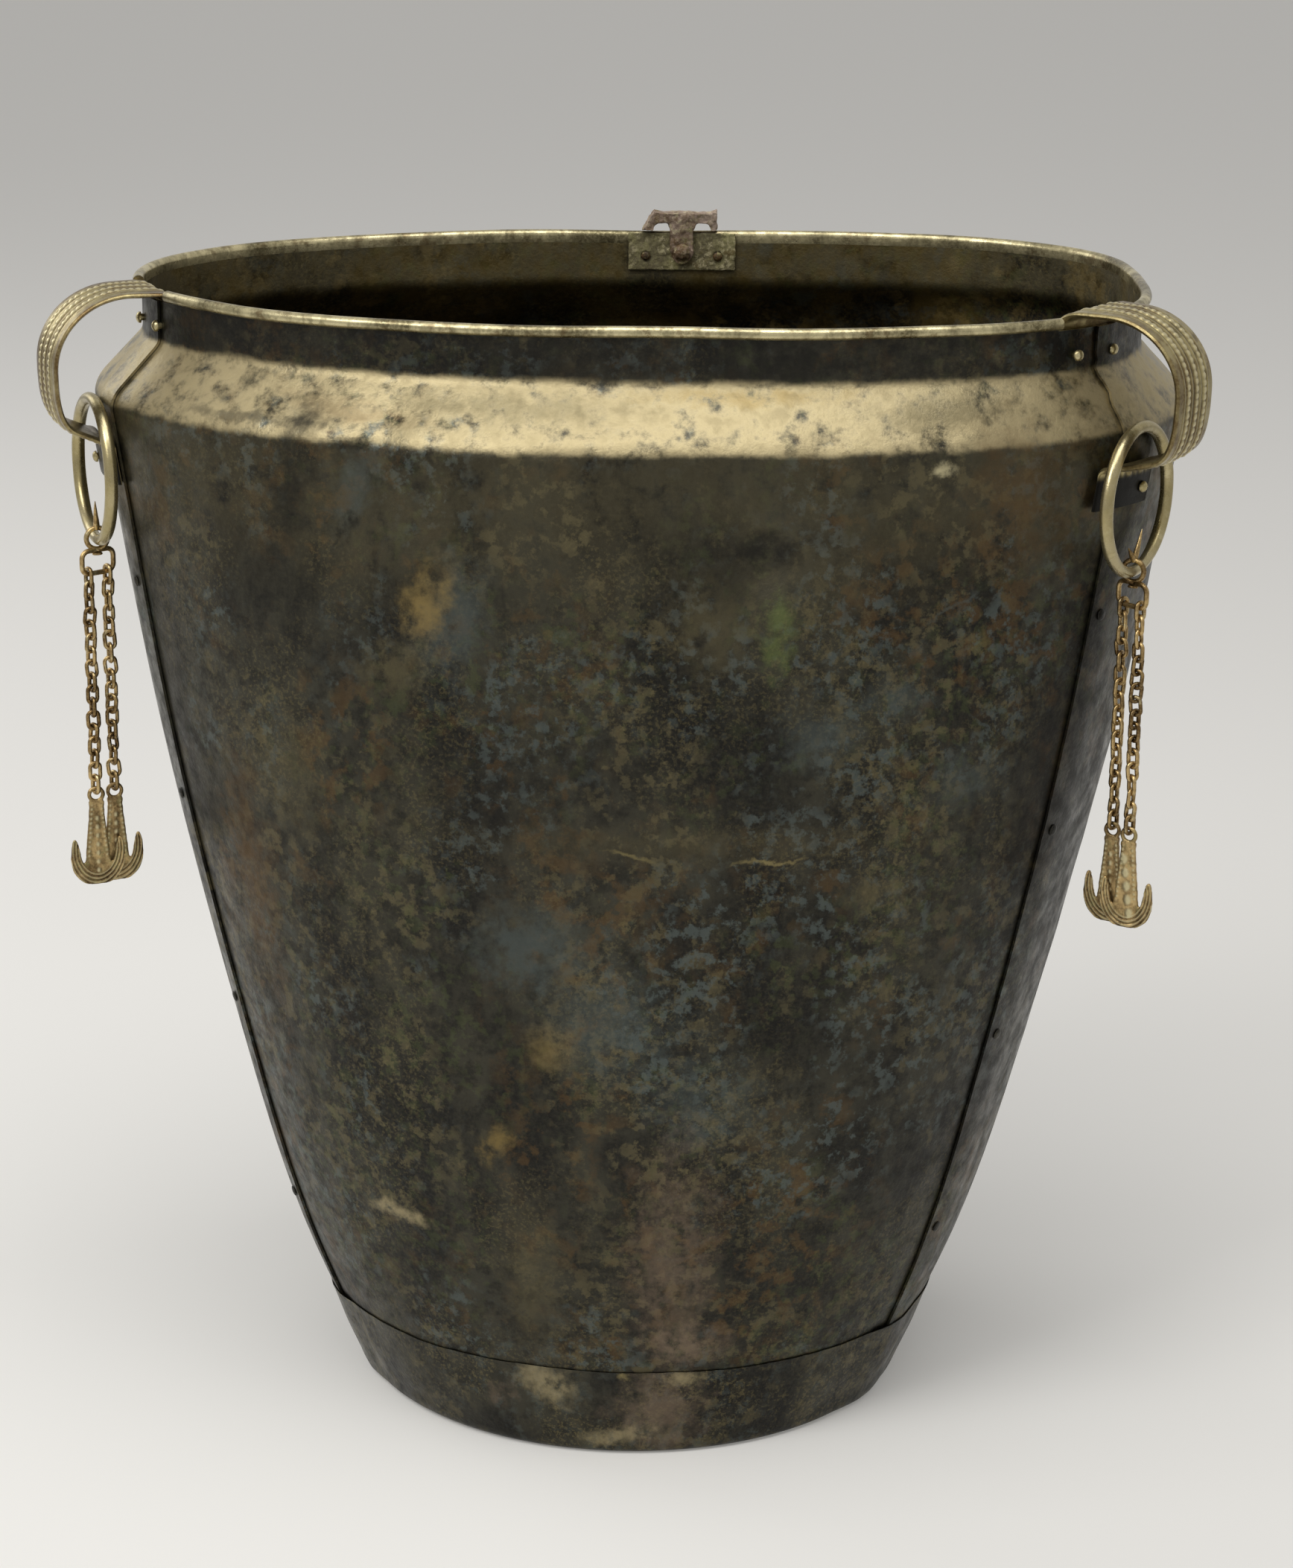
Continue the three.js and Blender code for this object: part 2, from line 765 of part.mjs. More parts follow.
  // Step sideways from the middle of the strap: straight where it is free, round the vessel where it is fixed
  side_step(point, distance) {
    const straight = this.along.clone().multiplyScalar(distance);
    const place = place_beside(point.place, distance, point.height);
    const round = facet_point(place, point.height, point.offset_at);
    return straight.lerp(round.sub(facet_point(point.place, point.height, point.offset_at)), point.hug);
  }

  strap_ring(points, index) {
    const point = points[index];
    const before = points[Math.max(index - 1, 0)].at;
    const after = points[Math.min(index + 1, points.length - 1)].at;
    const forward = after.clone().sub(before).normalize();
    const half = THREE.MathUtils.lerp(strap_width, point.width, point.hug) / 2;
    return strap_outline.map(([across, height]) => {
      const step = this.side_step(point, across * half);
      const ahead = this.side_step(point, across * half + 0.5).sub(this.side_step(point, across * half - 0.5));
      const face = ahead.normalize().cross(forward).normalize();
      return point.at.clone().add(step).addScaledVector(face, -height);
    });
  }

  strap() {
    const points = this.spine();
    const rings = points.map((_, index) => this.strap_ring(points, index));
    const outline = strap_outline.map(([across, height]) => new THREE.Vector2(across * strap_width, height));
    return loft(rings, false, outline);
  }

  // Two rivets hold each plate, at equal distances beside its middle
  rivet_sites() {
    const upper = neck_top - handle_rivet_inset;
    const lower = this.outer_plate_top - strap_outer_plate_length / 2;
    const half = handle_rivet_spacing / 2;
    const pair = (place, height) => [-half, half].map((distance) => {
      return { height, place: place_beside(place, distance, height) };
    });
    return { upper: pair(this.place, upper), lower: pair(this.foot_place, lower) };
  }
}

// Section of the strap: share of the half width across, and height above the middle; three ribs on the face
function rib_outline(middle) {
  const half = strap_thickness / 2;
  return [[middle - 0.1, half], [middle, half + strap_rib_height], [middle + 0.1, half]];
}

const strap_outline = [
  [-1, strap_thickness / 2],
  ...rib_outline(-0.84),
  [-0.5, strap_thickness / 2],
  ...rib_outline(0),
  [0.5, strap_thickness / 2],
  ...rib_outline(0.84),
  [1, strap_thickness / 2],
  [1, -strap_thickness / 2],
  [0.5, -strap_thickness / 2],
  [0, -strap_thickness / 2],
  [-0.5, -strap_thickness / 2],
  [-1, -strap_thickness / 2],
];

const right_handle = new Handle({
  side: "right",
  place: right_handle_place,
  foot_shift: right_foot_shift,
  twist: right_handle_twist,
  past_ring: right_strap_past_ring,
  rise: right_strap_rise,
  bar_drop: right_bar_drop,
});
const left_handle = new Handle({
  side: "left",
  place: left_handle_place,
  foot_shift: left_foot_shift,
  twist: left_handle_twist,
  past_ring: left_strap_past_ring,
  rise: left_strap_rise,
  bar_drop: left_bar_drop,
});
const handles = [right_handle, left_handle];

// Seam rivets sit in the middle of each lap, evenly spaced between the pan and the handles
function seam_sites(seam, lap_end) {
  const low = pan_height;
  const high = right_handle.outer_plate_top - strap_outer_plate_length;
  return Array.from({ length: seam_rivets }, (_, i) => ({
    place: (seam + lap_end) / 2,
    height: THREE.MathUtils.lerp(low, high, (i + 0.5) / seam_rivets),
  }));
}

const right_seam_sites = seam_sites(right_seam, right_lap_end);
const left_seam_sites = seam_sites(left_seam, left_lap_end);

// Lid bracket: a curved plate inside the neck, a block over the rim, a stud and two rivets

const bracket_plate_top = rim_height - 0.5;
const bracket_plate_face = -sheet_thickness - piece_gap;
const bracket_rivet_height = bracket_plate_top - bracket_plate_height * 0.62;

function bracket_plate() {
  const columns = back_columns.filter((place) => place >= bracket_from - 1e-6 && place <= bracket_to + 1e-6);
  const low = bracket_plate_top - bracket_plate_height;
  const heights = [low, ...row_heights.filter((height) => height > low), bracket_plate_top];
  const inside = bracket_plate_face - bracket_plate_thickness;
  const rings = columns.map((place) => wall_ring(place, heights, bracket_plate_face, inside));
  return loft(rings, false, ring_outline(rings[0]));
}

function bracket_block() {
  const half = bracket_block_width / 2;
  const low = rim_height + piece_gap;
  const high = low + bracket_block_height;
  const recess = low + bracket_block_height * 0.35;
  const tongue = bracket_tongue_width / 2;
  const outline = new THREE.Shape();
  const sloped_end = -half - bracket_block_overhang + bracket_block_slope;
  const leg = half - bracket_leg_width;
  outline.moveTo(-half - bracket_block_overhang, low);
  outline.lineTo(sloped_end, high);
  outline.lineTo(sloped_end + bracket_lip_width, high - bracket_lip_height);
  outline.lineTo(half - bracket_lip_width, high - bracket_lip_height);
  outline.lineTo(half, high);
  outline.lineTo(half, low);
  outline.lineTo(leg, low);
  outline.lineTo(leg - bracket_leg_taper, recess);
  outline.lineTo(tongue + bracket_leg_taper, recess);
  outline.lineTo(tongue, low);
  outline.lineTo(-tongue, low);
  outline.lineTo(-tongue - bracket_leg_taper, recess);
  outline.lineTo(bracket_leg_taper - leg, recess);
  outline.lineTo(-leg, low);
  const block = new THREE.ExtrudeGeometry(outline, { depth: bracket_block_depth, bevelEnabled: false });
  block.rotateX(Math.PI / 2);
  const tongue_shape = new THREE.Shape();
  tongue_shape.moveTo(-tongue, recess);
  tongue_shape.lineTo(tongue, recess);
  tongue_shape.lineTo(tongue, low + tongue - bracket_tongue_length);
  tongue_shape.absarc(0, low + tongue - bracket_tongue_length, tongue, 0, -Math.PI, true);
  const options = { depth: bracket_tongue_thickness, bevelEnabled: false, curveSegments: 8 };
  const tongue_plate = new THREE.ExtrudeGeometry(tongue_shape, options);
  tongue_plate.rotateX(Math.PI / 2);
  return { block, tongue_plate };
}

function add_bracket() {
  const plate_inside_face = bracket_plate_face - bracket_plate_thickness;
  const stud_height = rim_height + piece_gap + bracket_tongue_width / 2 - bracket_tongue_length;
  const stud_site = { place: bracket_place, height: stud_height };
  const sites = bracket_rivet_places.map((place) => ({ place, height: bracket_rivet_height }));
  const plate_holes = [...sites, stud_site].map((site) => hole_geometry(site, rivet_shank_radius + rivet_gap));
  add("bracket_plate", cut(bracket_plate(), plate_holes), bracket_bronze);

  const normal = face_normal(bracket_place, stud_height).setZ(0).normalize();
  const turn = Math.atan2(normal.y, normal.x) - Math.PI / 2;
  const anchor = wall_point(bracket_place, stud_height, plate_inside_face - piece_gap).setZ(0);
  const { block, tongue_plate } = bracket_block();
  block.translate(0, bracket_block_depth - bracket_tongue_thickness, 0);
  const turned = [block, tongue_plate].map((geometry) => {
    return geometry.rotateZ(turn).translate(anchor.x, anchor.y, 0);
  });
  const stud_hole = hole_geometry(stud_site, rivet_shank_radius + rivet_gap);
  add("bracket_block", cut(join(turned), [stud_hole]), bracket_bronze);
  return { sites, stud_site, plate_inside_face };
}

// A rivet with its head inside the mouth
function add_inside_rivet(name, site, inside, head_radius, head_height, material) {
  const stack = -inside + 2 * piece_gap;
  const geometry = rivet_geometry(stack, head_radius, head_height, 8).rotateX(Math.PI);
  add(name, geometry, material).applyMatrix4(site_matrix(site, inside - piece_gap));
}

const bracket = add_bracket();
for (const [i, site] of bracket.sites.entries()) {
  const name = `bracket_rivet_${i + 1}`;
  add_inside_rivet(name, site, bracket.plate_inside_face, rivet_head_radius, 0.9, rivet_bronze);
}
const tongue_face = bracket.plate_inside_face - piece_gap - bracket_tongue_thickness;
add_inside_rivet("bracket_stud", bracket.stud_site, tongue_face, bracket_stud_radius, 2.2, bracket_bronze);

// Sheets, pan and core wires

const handle_sites = handles.flatMap((handle) => {
  const sites = handle.rivet_sites();
  return [...sites.upper, ...sites.lower];
});
const sheet_holes = [
  ...handle_sites,
  ...right_seam_sites,
  ...left_seam_sites,
  ...bracket.sites,
  bracket.stud_site,
].map((site) => hole_geometry(site, rivet_shank_radius + rivet_gap));

const front_sheet = body_sheet(front_columns, front_roll_from, front_roll_to, () => 0);
const back_sheet = body_sheet(back_columns, back_roll_from, back_roll_to, lap_offset);
add("front_sheet", cut(front_sheet, sheet_holes), sheet_bronze);
add("back_sheet", cut(back_sheet, sheet_holes), sheet_bronze);
add("base_pan", base_pan(), pan_bronze);
add("front_rim_wire", core_wire(front_columns, front_roll_from, front_roll_to), rivet_bronze);
add("back_rim_wire", core_wire(back_columns, back_roll_from, back_roll_to), rivet_bronze);

for (const [side, sites] of [["right", right_seam_sites], ["left", left_seam_sites]]) {
  for (const [i, site] of sites.entries()) {
    add_rivet(`${side}_seam_rivet_${i + 1}`, site, lap_step, -sheet_thickness, seam_rivet_head_height);
  }
}

for (const handle of handles) {
  const sites = handle.rivet_sites();
  const holes = [...sites.upper, ...sites.lower].map((site) => hole_geometry(site, rivet_shank_radius + rivet_gap));
  add(`${handle.side}_handle_strap`, cut(handle.strap(), holes), strap_bronze);
  for (const [i, site] of sites.upper.entries()) {
    const inside = plate_inside - strap_thickness / 2;
    add_rivet(`${handle.side}_upper_rivet_${i + 1}`, site, lap_step, inside, rivet_head_height);
  }
  for (const [i, site] of sites.lower.entries()) {
    const outside = plate_outside + strap_thickness / 2;
    add_rivet(`${handle.side}_lower_rivet_${i + 1}`, site, outside, -sheet_thickness, rivet_head_height);
  }
}

// Hanging pieces, in a frame with X out from the vessel, Y along the rim and Z up

// A closed wire that follows flat corner points, mitred at each corner
function wire_round(corners, wire_radius, sides) {
  const outline = circle_outline(wire_radius, sides);
  const count = corners.length;
  const rings = corners.map((corner, i) => {
    const before = corner.clone().sub(corners[(i + count - 1) % count]).normalize();
    const after = corners[(i + 1) % count].clone().sub(corner).normalize();
    const forward = before.clone().add(after).normalize();
    const outward = new THREE.Vector3(forward.y, 0, -forward.x);
    const stretch = 1 / forward.dot(after);
    const middle = new THREE.Vector3(corner.x, 0, corner.y);
    return outline.map((p) => middle.clone().addScaledVector(outward, p.x * stretch).setY(p.y));
  });
  return loft(rings, true);
}

function round_corners(half_width, half_length, steps) {
  return Array.from({ length: steps }, (_, i) => {
    const angle = ((i + 0.5) / steps) * 2 * Math.PI;
    return new THREE.Vector2(half_width * Math.cos(angle), half_length * Math.sin(angle));
  });
}

// Corner points of a loop with straight sides and cut corners
function oblong_corners(half_width, half_length, corner) {
  const side = half_length - corner;
  const end = half_width - corner;
  return [
    [half_width, side],
    [end, half_length],
    [-end, half_length],
    [-half_width, side],
    [-half_width, -side],
    [-end, -half_length],
    [end, -half_length],
    [half_width, -side],
  ].map(([x, y]) => new THREE.Vector2(x, y));
}

function ring_geometry() {
  return bare(new THREE.TorusGeometry(ring_radius, ring_bar_radius, 6, ring_sides).rotateY(Math.PI / 2));
}

const yoke_eye_radius = ring_bar_radius + yoke_wire_radius + yoke_eye_slack;
const yoke_loop_height = -yoke_eye_radius - yoke_loop_half_height - yoke_wire_radius * 0.4;
const yoke_bar_height = yoke_loop_height - yoke_loop_half_height;

function yoke_tail(length, lean) {
  const foot = new THREE.Vector3(0, 0, yoke_eye_radius - 0.2);
  const bend = new THREE.Vector3(lean * 0.2, lean * 0.5, yoke_eye_radius + length * 0.5);
  const tip = new THREE.Vector3(lean * 0.3, lean, yoke_eye_radius + length);
  const path = new THREE.QuadraticBezierCurve3(foot, bend, tip);
  const section = new THREE.Shape(circle_outline(yoke_wire_radius * 0.85, 5));
  return new THREE.ExtrudeGeometry(section, { steps: 3, extrudePath: path, bevelEnabled: false });
}

// The yoke's eye goes round the foot of the ring; the wide loop under it carries both strands
function yoke_geometry(turn) {
  const eye = wire_round(round_corners(yoke_eye_radius, yoke_eye_radius, 10), yoke_wire_radius, 5);
  const loop_corners = oblong_corners(yoke_loop_half_width, yoke_loop_half_height, yoke_loop_corner);
  const loop = wire_round(loop_corners, yoke_wire_radius, 5);
  loop.rotateZ(turn).translate(0, 0, yoke_loop_height);
  const long_tail = yoke_tail(yoke_tail_length, yoke_tail_lean);
  const short_tail = yoke_tail(yoke_short_tail_length, yoke_short_tail_lean);
  return join([eye, loop, long_tail, short_tail]);
}

const link_touch = 2 * link_half_length - 2 * link_wire_radius;
const link_pitch = link_touch + link_fuse;
const joint_pitch = link_touch - piece_gap;

// A run of links below its first one, each turned a quarter from the last
function chain_segment(count, first_turn) {
  const links = Array.from({ length: count }, (_, i) => {
    const corners = oblong_corners(link_half_width, link_half_length, link_corner);
    const link = wire_round(corners, link_wire_radius, 4);
    return link.rotateZ(first_turn + (i % 2) * Math.PI / 2).translate(0, 0, -i * link_pitch);
  });
  return join(links);
}

// Half of the pendant's outline from the shaft to the foot, on the side given by its sign.
// Below the shaft, width is a share of the half width and height a share of the prongs' rise.
function pendant_half(sign) {
  const prong = [
    [0.55, 0.47],
    [0.73, 0.71],
    [0.875, 1],
    [0.99, 0.81],
    [1, 0.5],
    [0.845, 0.235],
    [0.5, 0.06],
  ].map(([x, y]) => [x * pendant_half_width, y * pendant_prong_rise - pendant_drop]);
  return [
    [pendant_neck_half_width, -pendant_eye_radius - pendant_eye_wall],
    [pendant_foot_half_width, 0.56 * pendant_prong_rise - pendant_drop],
    ...prong,
  ].map(([x, y]) => new THREE.Vector2(sign * x, y));
}

function pendant_geometry() {
  const eye_outer = pendant_eye_radius + pendant_eye_wall;
  const outline = new THREE.Shape();
  outline.absarc(0, 0, eye_outer, -0.3 * Math.PI, 1.3 * Math.PI, false);
  for (const point of pendant_half(-1)) {
    outline.lineTo(point.x, point.y);
  }
  outline.lineTo(0, -pendant_drop);
  for (const point of pendant_half(1).reverse()) {
    outline.lineTo(point.x, point.y);
  }
  outline.holes.push(new THREE.Path().absarc(0, 0, pendant_eye_radius, 0, 2 * Math.PI, true));
  const options = { depth: pendant_thickness, bevelEnabled: false, curveSegments: 5 };
  const plate = new THREE.ExtrudeGeometry(outline, options);
  return bare(plate.translate(0, 0, -pendant_thickness / 2).rotateX(Math.PI / 2));
}

// Height of the middle of a link that hangs on a bar at the given height
function hung_link(bar, bar_radius) {
  return bar + bar_radius + link_wire_radius + piece_gap - link_half_length;
}

function add_strand(name, frame, [across, along, foot_height], turn) {
  const first = hung_link(foot_height + yoke_bar_height, yoke_wire_radius);
  const second = first - (upper_links - 1) * link_pitch - joint_pitch;
  const last = second - (lower_links - 1) * link_pitch;
  const eye = last - link_half_length + link_wire_radius + piece_gap - pendant_eye_radius;
  const first_turn = turn + Math.PI / 2;
  const second_turn = first_turn + (upper_links % 2) * Math.PI / 2;
  const pieces = [
    add(name.replace("*", "chain_upper"), chain_segment(upper_links, first_turn), chain_bronze, frame),
    add(name.replace("*", "chain_lower"), chain_segment(lower_links, second_turn), chain_bronze, frame),
    add(name.replace("*", "pendant"), pendant_geometry(), pendant_bronze, frame),
  ];
  for (const [i, height] of [first, second, eye].entries()) {
    pieces[i].position.set(across, along, height);
  }
}

function add_hanging(handle) {
  const frame = new THREE.Group();
  const front = -Math.sign(handle.along.y);
  const shift = handle.side_shift(handle.outer_end) + handle.ring_shift;
  frame.position.copy(handle.origin).addScaledVector(handle.along, shift);
  frame.rotation.z = Math.atan2(handle.out.y, handle.out.x);
  situla.add(frame);

  // The outer strand hangs nearer the front than the inner one, so that the pendants pass each other
  const turn = Math.atan2(front * strand_nesting, strand_spacing);
  const seat = handle.ring_seat;
  const foot_height = handle.ring_height - ring_radius;
  add(`${handle.side}_ring`, ring_geometry(), ring_bronze, frame).position.set(seat, 0, handle.ring_height);
  add(`${handle.side}_yoke`, yoke_geometry(turn), chain_bronze, frame).position.set(seat, 0, foot_height);
  for (const [strand, sign] of [["outer", 1], ["inner", -1]]) {
    const across = seat + sign * strand_spacing / 2;
    const along = sign * front * strand_nesting / 2;
    add_strand(`${handle.side}_${strand}_*`, frame, [across, along, foot_height], turn);
  }
}

handles.forEach(add_hanging);

export default situla;
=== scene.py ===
import math
import random
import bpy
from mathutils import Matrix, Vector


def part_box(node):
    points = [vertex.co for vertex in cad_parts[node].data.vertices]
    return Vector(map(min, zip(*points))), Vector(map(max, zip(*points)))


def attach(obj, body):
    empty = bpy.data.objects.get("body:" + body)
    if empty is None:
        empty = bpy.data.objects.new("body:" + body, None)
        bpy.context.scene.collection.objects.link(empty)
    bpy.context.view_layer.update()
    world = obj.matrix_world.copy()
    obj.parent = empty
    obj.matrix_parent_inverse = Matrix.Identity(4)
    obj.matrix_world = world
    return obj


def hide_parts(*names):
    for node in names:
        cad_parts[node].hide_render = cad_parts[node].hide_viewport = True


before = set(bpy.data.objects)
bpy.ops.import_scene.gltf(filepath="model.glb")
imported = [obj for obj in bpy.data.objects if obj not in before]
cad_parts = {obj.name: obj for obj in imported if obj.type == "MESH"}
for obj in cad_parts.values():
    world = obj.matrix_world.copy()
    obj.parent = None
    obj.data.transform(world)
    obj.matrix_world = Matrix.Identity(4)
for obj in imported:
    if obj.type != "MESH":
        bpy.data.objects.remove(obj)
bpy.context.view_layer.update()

from types import SimpleNamespace

import bmesh
import bpy
import numpy as np
from bpy.props import FloatProperty, FloatVectorProperty, IntProperty, PointerProperty
from mathutils import Matrix, Vector, noise

bl_info = {
    "name": "Bronze situla",
    "version": (1, 0, 0),
    "blender": (4, 5, 0),
    "location": "3D View > Sidebar > Situla",
    "description": "Hammered sheets, ribbed straps, rings, chains and pendants round the packed situla",
    "category": "Object",
}

# Metres in a millimetre. Shapes are worked out in millimetres and scaled when a mesh is made.
MM = 0.001
VESSEL = "vessel"


# Properties

def length(label, text, mm):
    return FloatProperty(name=label, description=text, default=mm * MM, min=0, unit="LENGTH", precision=4)


def linear(code):
    """Turns an sRGB hex value into linear red, green, blue and alpha."""
    values = [int(code[i:i + 2], 16) / 255 for i in (1, 3, 5)]
    return (*[v / 12.92 if v <= 0.04045 else ((v + 0.055) / 1.055) ** 2.4 for v in values], 1.0)


def colour(label, text, code):
    return FloatVectorProperty(
        name=label, description=text, default=linear(code), size=4, min=0, max=1, subtype="COLOR")


def whole_number(label, text, value):
    return IntProperty(name=label, description=text, default=value, min=2)


class VesselSizes(bpy.types.PropertyGroup):
    """Sizes of the two sheets, the rim and the base pan"""
    sheet_thickness: length("Sheet thickness", "Thickness of the hammered sheets", 0.9)
    gap: length("Gap", "Clear space between neighbouring pieces", 0.3)
    rim_height: length("Rim height", "Height of the rim above the ground", 400)
    neck_length: length("Neck length", "Height of the upright neck under the rim", 19)
    shoulder_drop: length("Shoulder drop", "Height of the sloping shoulder", 18.5)
    mouth_half_width: length("Mouth half width", "Half width of the mouth", 171.5)
    mouth_depth: length("Mouth depth", "Depth of the mouth to the front and to the back", 98)
    shoulder_side_run: length("Shoulder run at the sides", "How far the shoulder runs out sideways", 17.5)
    shoulder_front_run: length(
        "Shoulder run at the front", "How far the shoulder runs out to the front", 18)
    shoulder_corner: length("Shoulder corner", "Radius that softens the shoulder's edge", 4)
    neck_corner: length("Neck corner", "Radius that softens the foot of the neck", 2)
    lap_width: length("Lap width", "Width of the lapped seams", 11)
    lap_ramp: length("Lap ramp", "Width over which the outer layer comes back to the wall", 15)
    core_radius: length("Core wire radius", "Radius of the wire inside the rolled rim", 0.75)
    pan_thickness: length("Pan thickness", "Thickness of the base pan", 1.2)
    pan_height: length("Pan height", "Height of the base pan's upper edge", 34)
    pan_foot_radius: length("Pan foot radius", "Radius between the pan's floor and wall", 3)
    unevenness: length("Unevenness", "How far the hammered wall strays from its plain form", 0.7)


class HandleSizes(bpy.types.PropertyGroup):
    """Sizes of the strap handles and of all rivets"""
    thickness: length("Strap thickness", "Thickness of the straps", 2)
    rim_width: length("Strap width at the rim", "Width of the straps where they cross the rim", 32)
    width: length("Strap width", "Width of the straps at the bar", 28)
    rib_height: length("Bead height", "Height of the beaded rows", 0.6)
    bead_pitch: length("Bead pitch", "Distance between the beads of a row", 2.3)
    arc_drop: length("Arc drop", "Height of the strap's outer bend", 24.5)
    arc_run: length("Arc run", "Reach of the strap's outer bend", 26)
    bar_slope: length("Bar slope", "Drop of the strap towards the wall", 3.4)
    inner_plate: length("Inner plate", "Length of the strap's end inside the neck", 12)
    outer_plate: length("Outer plate", "Length of the strap's end on the wall", 11)
    blend: length("Blend", "Length over which the strap takes the wall's curve", 14)
    shank_radius: length("Shank radius", "Radius of the rivets' shanks", 1.2)
    head_radius: length("Head radius", "Radius of the rivets' heads", 2)
    head_height: length("Head height", "Height of the domed heads", 1.6)
    rivet_spacing: length("Rivet spacing", "Distance between the two rivets of a plate", 17.5)
    rivet_inset: length("Rivet inset", "Depth of the upper rivets under the rim", 8.5)


class HangingSizes(bpy.types.PropertyGroup):
    """Sizes of the rings, yokes, chains and pendants"""
    ring_radius: length("Ring radius", "Radius of the rings to the middle of their bar", 24.2)
    ring_bar: length("Ring bar radius", "Radius of the rings' bar", 2.3)
    yoke_wire: length("Yoke wire radius", "Radius of the yokes' wire", 0.9)
    loop_half_width: length("Loop half width", "Half width of the yokes' loop", 6.2)
    loop_half_height: length("Loop half height", "Half height of the yokes' loop", 4)
    link_wire: length("Link wire radius", "Radius of the links' wire", 0.76)
    link_half_width: length("Link half width", "Half width of a link to the middle of its wire", 1.85)
    pendant_drop: length("Pendant drop", "Length of a pendant under its eye", 33)
    pendant_half_width: length("Pendant half width", "Half width of a pendant over its flukes", 9.6)
    pendant_thickness: length("Pendant thickness", "Thickness of the cast pendants", 1.4)
    upper_links: whole_number("Upper links", "Links in the upper run of a chain", 9)
    lower_links: whole_number("Lower links", "Links in the lower run of a chain", 8)


class BronzeColours(bpy.types.PropertyGroup):
    """Colours of the bronze and its patina"""
    wall: colour("Wall", "Olive grey patina of the sheets", "#3a382e")
    # Near-black of real stains and dark patina, used also as painted shade on the neck, the right flank, in
    # dents and on the straps' plates
    dark_stain_and_shade: colour("Wall dark", "Near-black stain", "#171613")
    crust: colour("Crust", "Yellowish olive crust", "#645c42")
    bloom: colour("Bloom", "Blue grey bloom", "#525a57")
    green: colour("Green", "Green corrosion", "#64703f")
    # Golden grains of the patina; its thin lines on the crease and its dot on the pan's edge are painted
    # glints
    gold: colour("Gold", "Golden grains in the patina", "#8f8257")
    ochre: colour("Ochre", "Yellow tan where the patina has flaked", "#8c7746")
    umber: colour("Umber", "Brown streaks", "#5c4628")
    # Painted highlight: pinkish tan reflections low on the front of the wall and on the pan
    warm_highlight: colour("Warm", "Pinkish tan where the foot is rubbed", "#7d6c5a")
    # Pale tan, partly the shoulder's own skin and partly a painted highlight from above; on the pan it is
    # painted highlight, on the scratch low on the front it is wear
    shoulder: colour("Shoulder", "Pale tan skin of the shoulder", "#a99b76")
    # Pale bronze of real wear; on the rim it is in part, and on the pan's upper edge wholly, a painted
    # highlight
    worn: colour("Worn", "Pale bronze on rubbed edges", "#cabf97")
    inside: colour("Inside", "Golden brown inside of the vessel", "#5f5029")
    strap: colour("Strap", "Yellow bronze of the straps", "#a2956a")
    cast: colour("Cast", "Bronze of the cast rings", "#b0a480")
    chain: colour("Chain", "Tan gold of the drawn wire", "#bfa472")
    verdigris: colour("Verdigris", "Yellow green corrosion of the bracket", "#958f60")
    stone: colour("Stone", "Pinkish crust of the bracket's block", "#a39080")
    floor: colour("Floor", "Pale studio floor", "#d6d4cf")


GROUPS = {
    "situla_vessel": VesselSizes,
    "situla_handles": HandleSizes,
    "situla_hanging": HangingSizes,
    "situla_colours": BronzeColours,
}


def in_mm(name):
    """The lengths of a property group in millimetres, and its counts as they are."""
    group = getattr(bpy.context.scene, name)
    values = {}
    for key in GROUPS[name].__annotations__:
        value = getattr(group, key)
        values[key] = value if isinstance(value, int) else value / MM
    return SimpleNamespace(**values)


# Shape of the vessel

# Half width, front depth and back depth of the wall at heights under the shoulder
BODY_STATIONS = ((0, 97, 95, 95), (60, 122.5, 105, 106), (120, 140, 115, 117), (240, 168, 122, 126))
BELLY_HEIGHT = 240

# Squareness of the mouth in its front left, front right, back right and back left quarters; 2 is an ellipse
MOUTH_SQUARENESS = (2.05, 2.8, 3.6, 2.05)
BODY_SQUARENESS = 2.4
FOOT_SQUARENESS = 2.0

# Places round the vessel in degrees, where the front is -90
HANDLE_PLACE = {"right": -34.2, "left": -165}
# Degrees by which a strap turns from the wall's own direction, and its foot's shift round the wall
HANDLE_TWIST = {"right": 15.8, "left": -3.4}
FOOT_SHIFT = {"right": 0.4, "left": -1}
# Millimetres from the rim up to a strap and down to its bar, and from the ring's middle to its outer bend
STRAP_RISE = {"right": 0.3, "left": -2.8}
BAR_DROP = {"right": 45.3, "left": 48.3}
PAST_RING = {"right": 17.2, "left": 14.8}
# Places of the lapped seams, in degrees as above, and their rivets
RIGHT_SEAM = -35.0
LEFT_SEAM = -160.0
SEAM_RIVETS = 4
SEAM_HEAD_HEIGHT = 0.6

# Dents in the front: x and height of the middle, half width, half height, tilt in degrees and depth
DENTS = (
    (-94, 345, 8, 27, -28, -4.0),
    (-72, 316, 12, 18, -12, 2.8),
    (-60, 288, 9, 14, -30, -1.8),
    (40, 327, 16, 10, 8, -4.4),
    (47, 302, 9, 13, 0, 2.4),
    (98, 355, 6, 3.6, 0, 1.3),
    (46, 228, 16, 2.4, 6, 1.3),
    (46, 222, 20, 4, 6, -1.6),
    (-47, 121, 6, 10, 15, 0.9),
    (-80, 87, 13, 2.4, -8, 0.8),
    (-10, 205, 40, 30, 0, -1.0),
    (95, 190, 30, 60, 0, -1.0),
    (-36, 26, 12, 11, -20, -1.4),
    (8, 13, 16, 6, 0, -1.2),
    (24, 42, 12, 5, 0, 1.0),
)

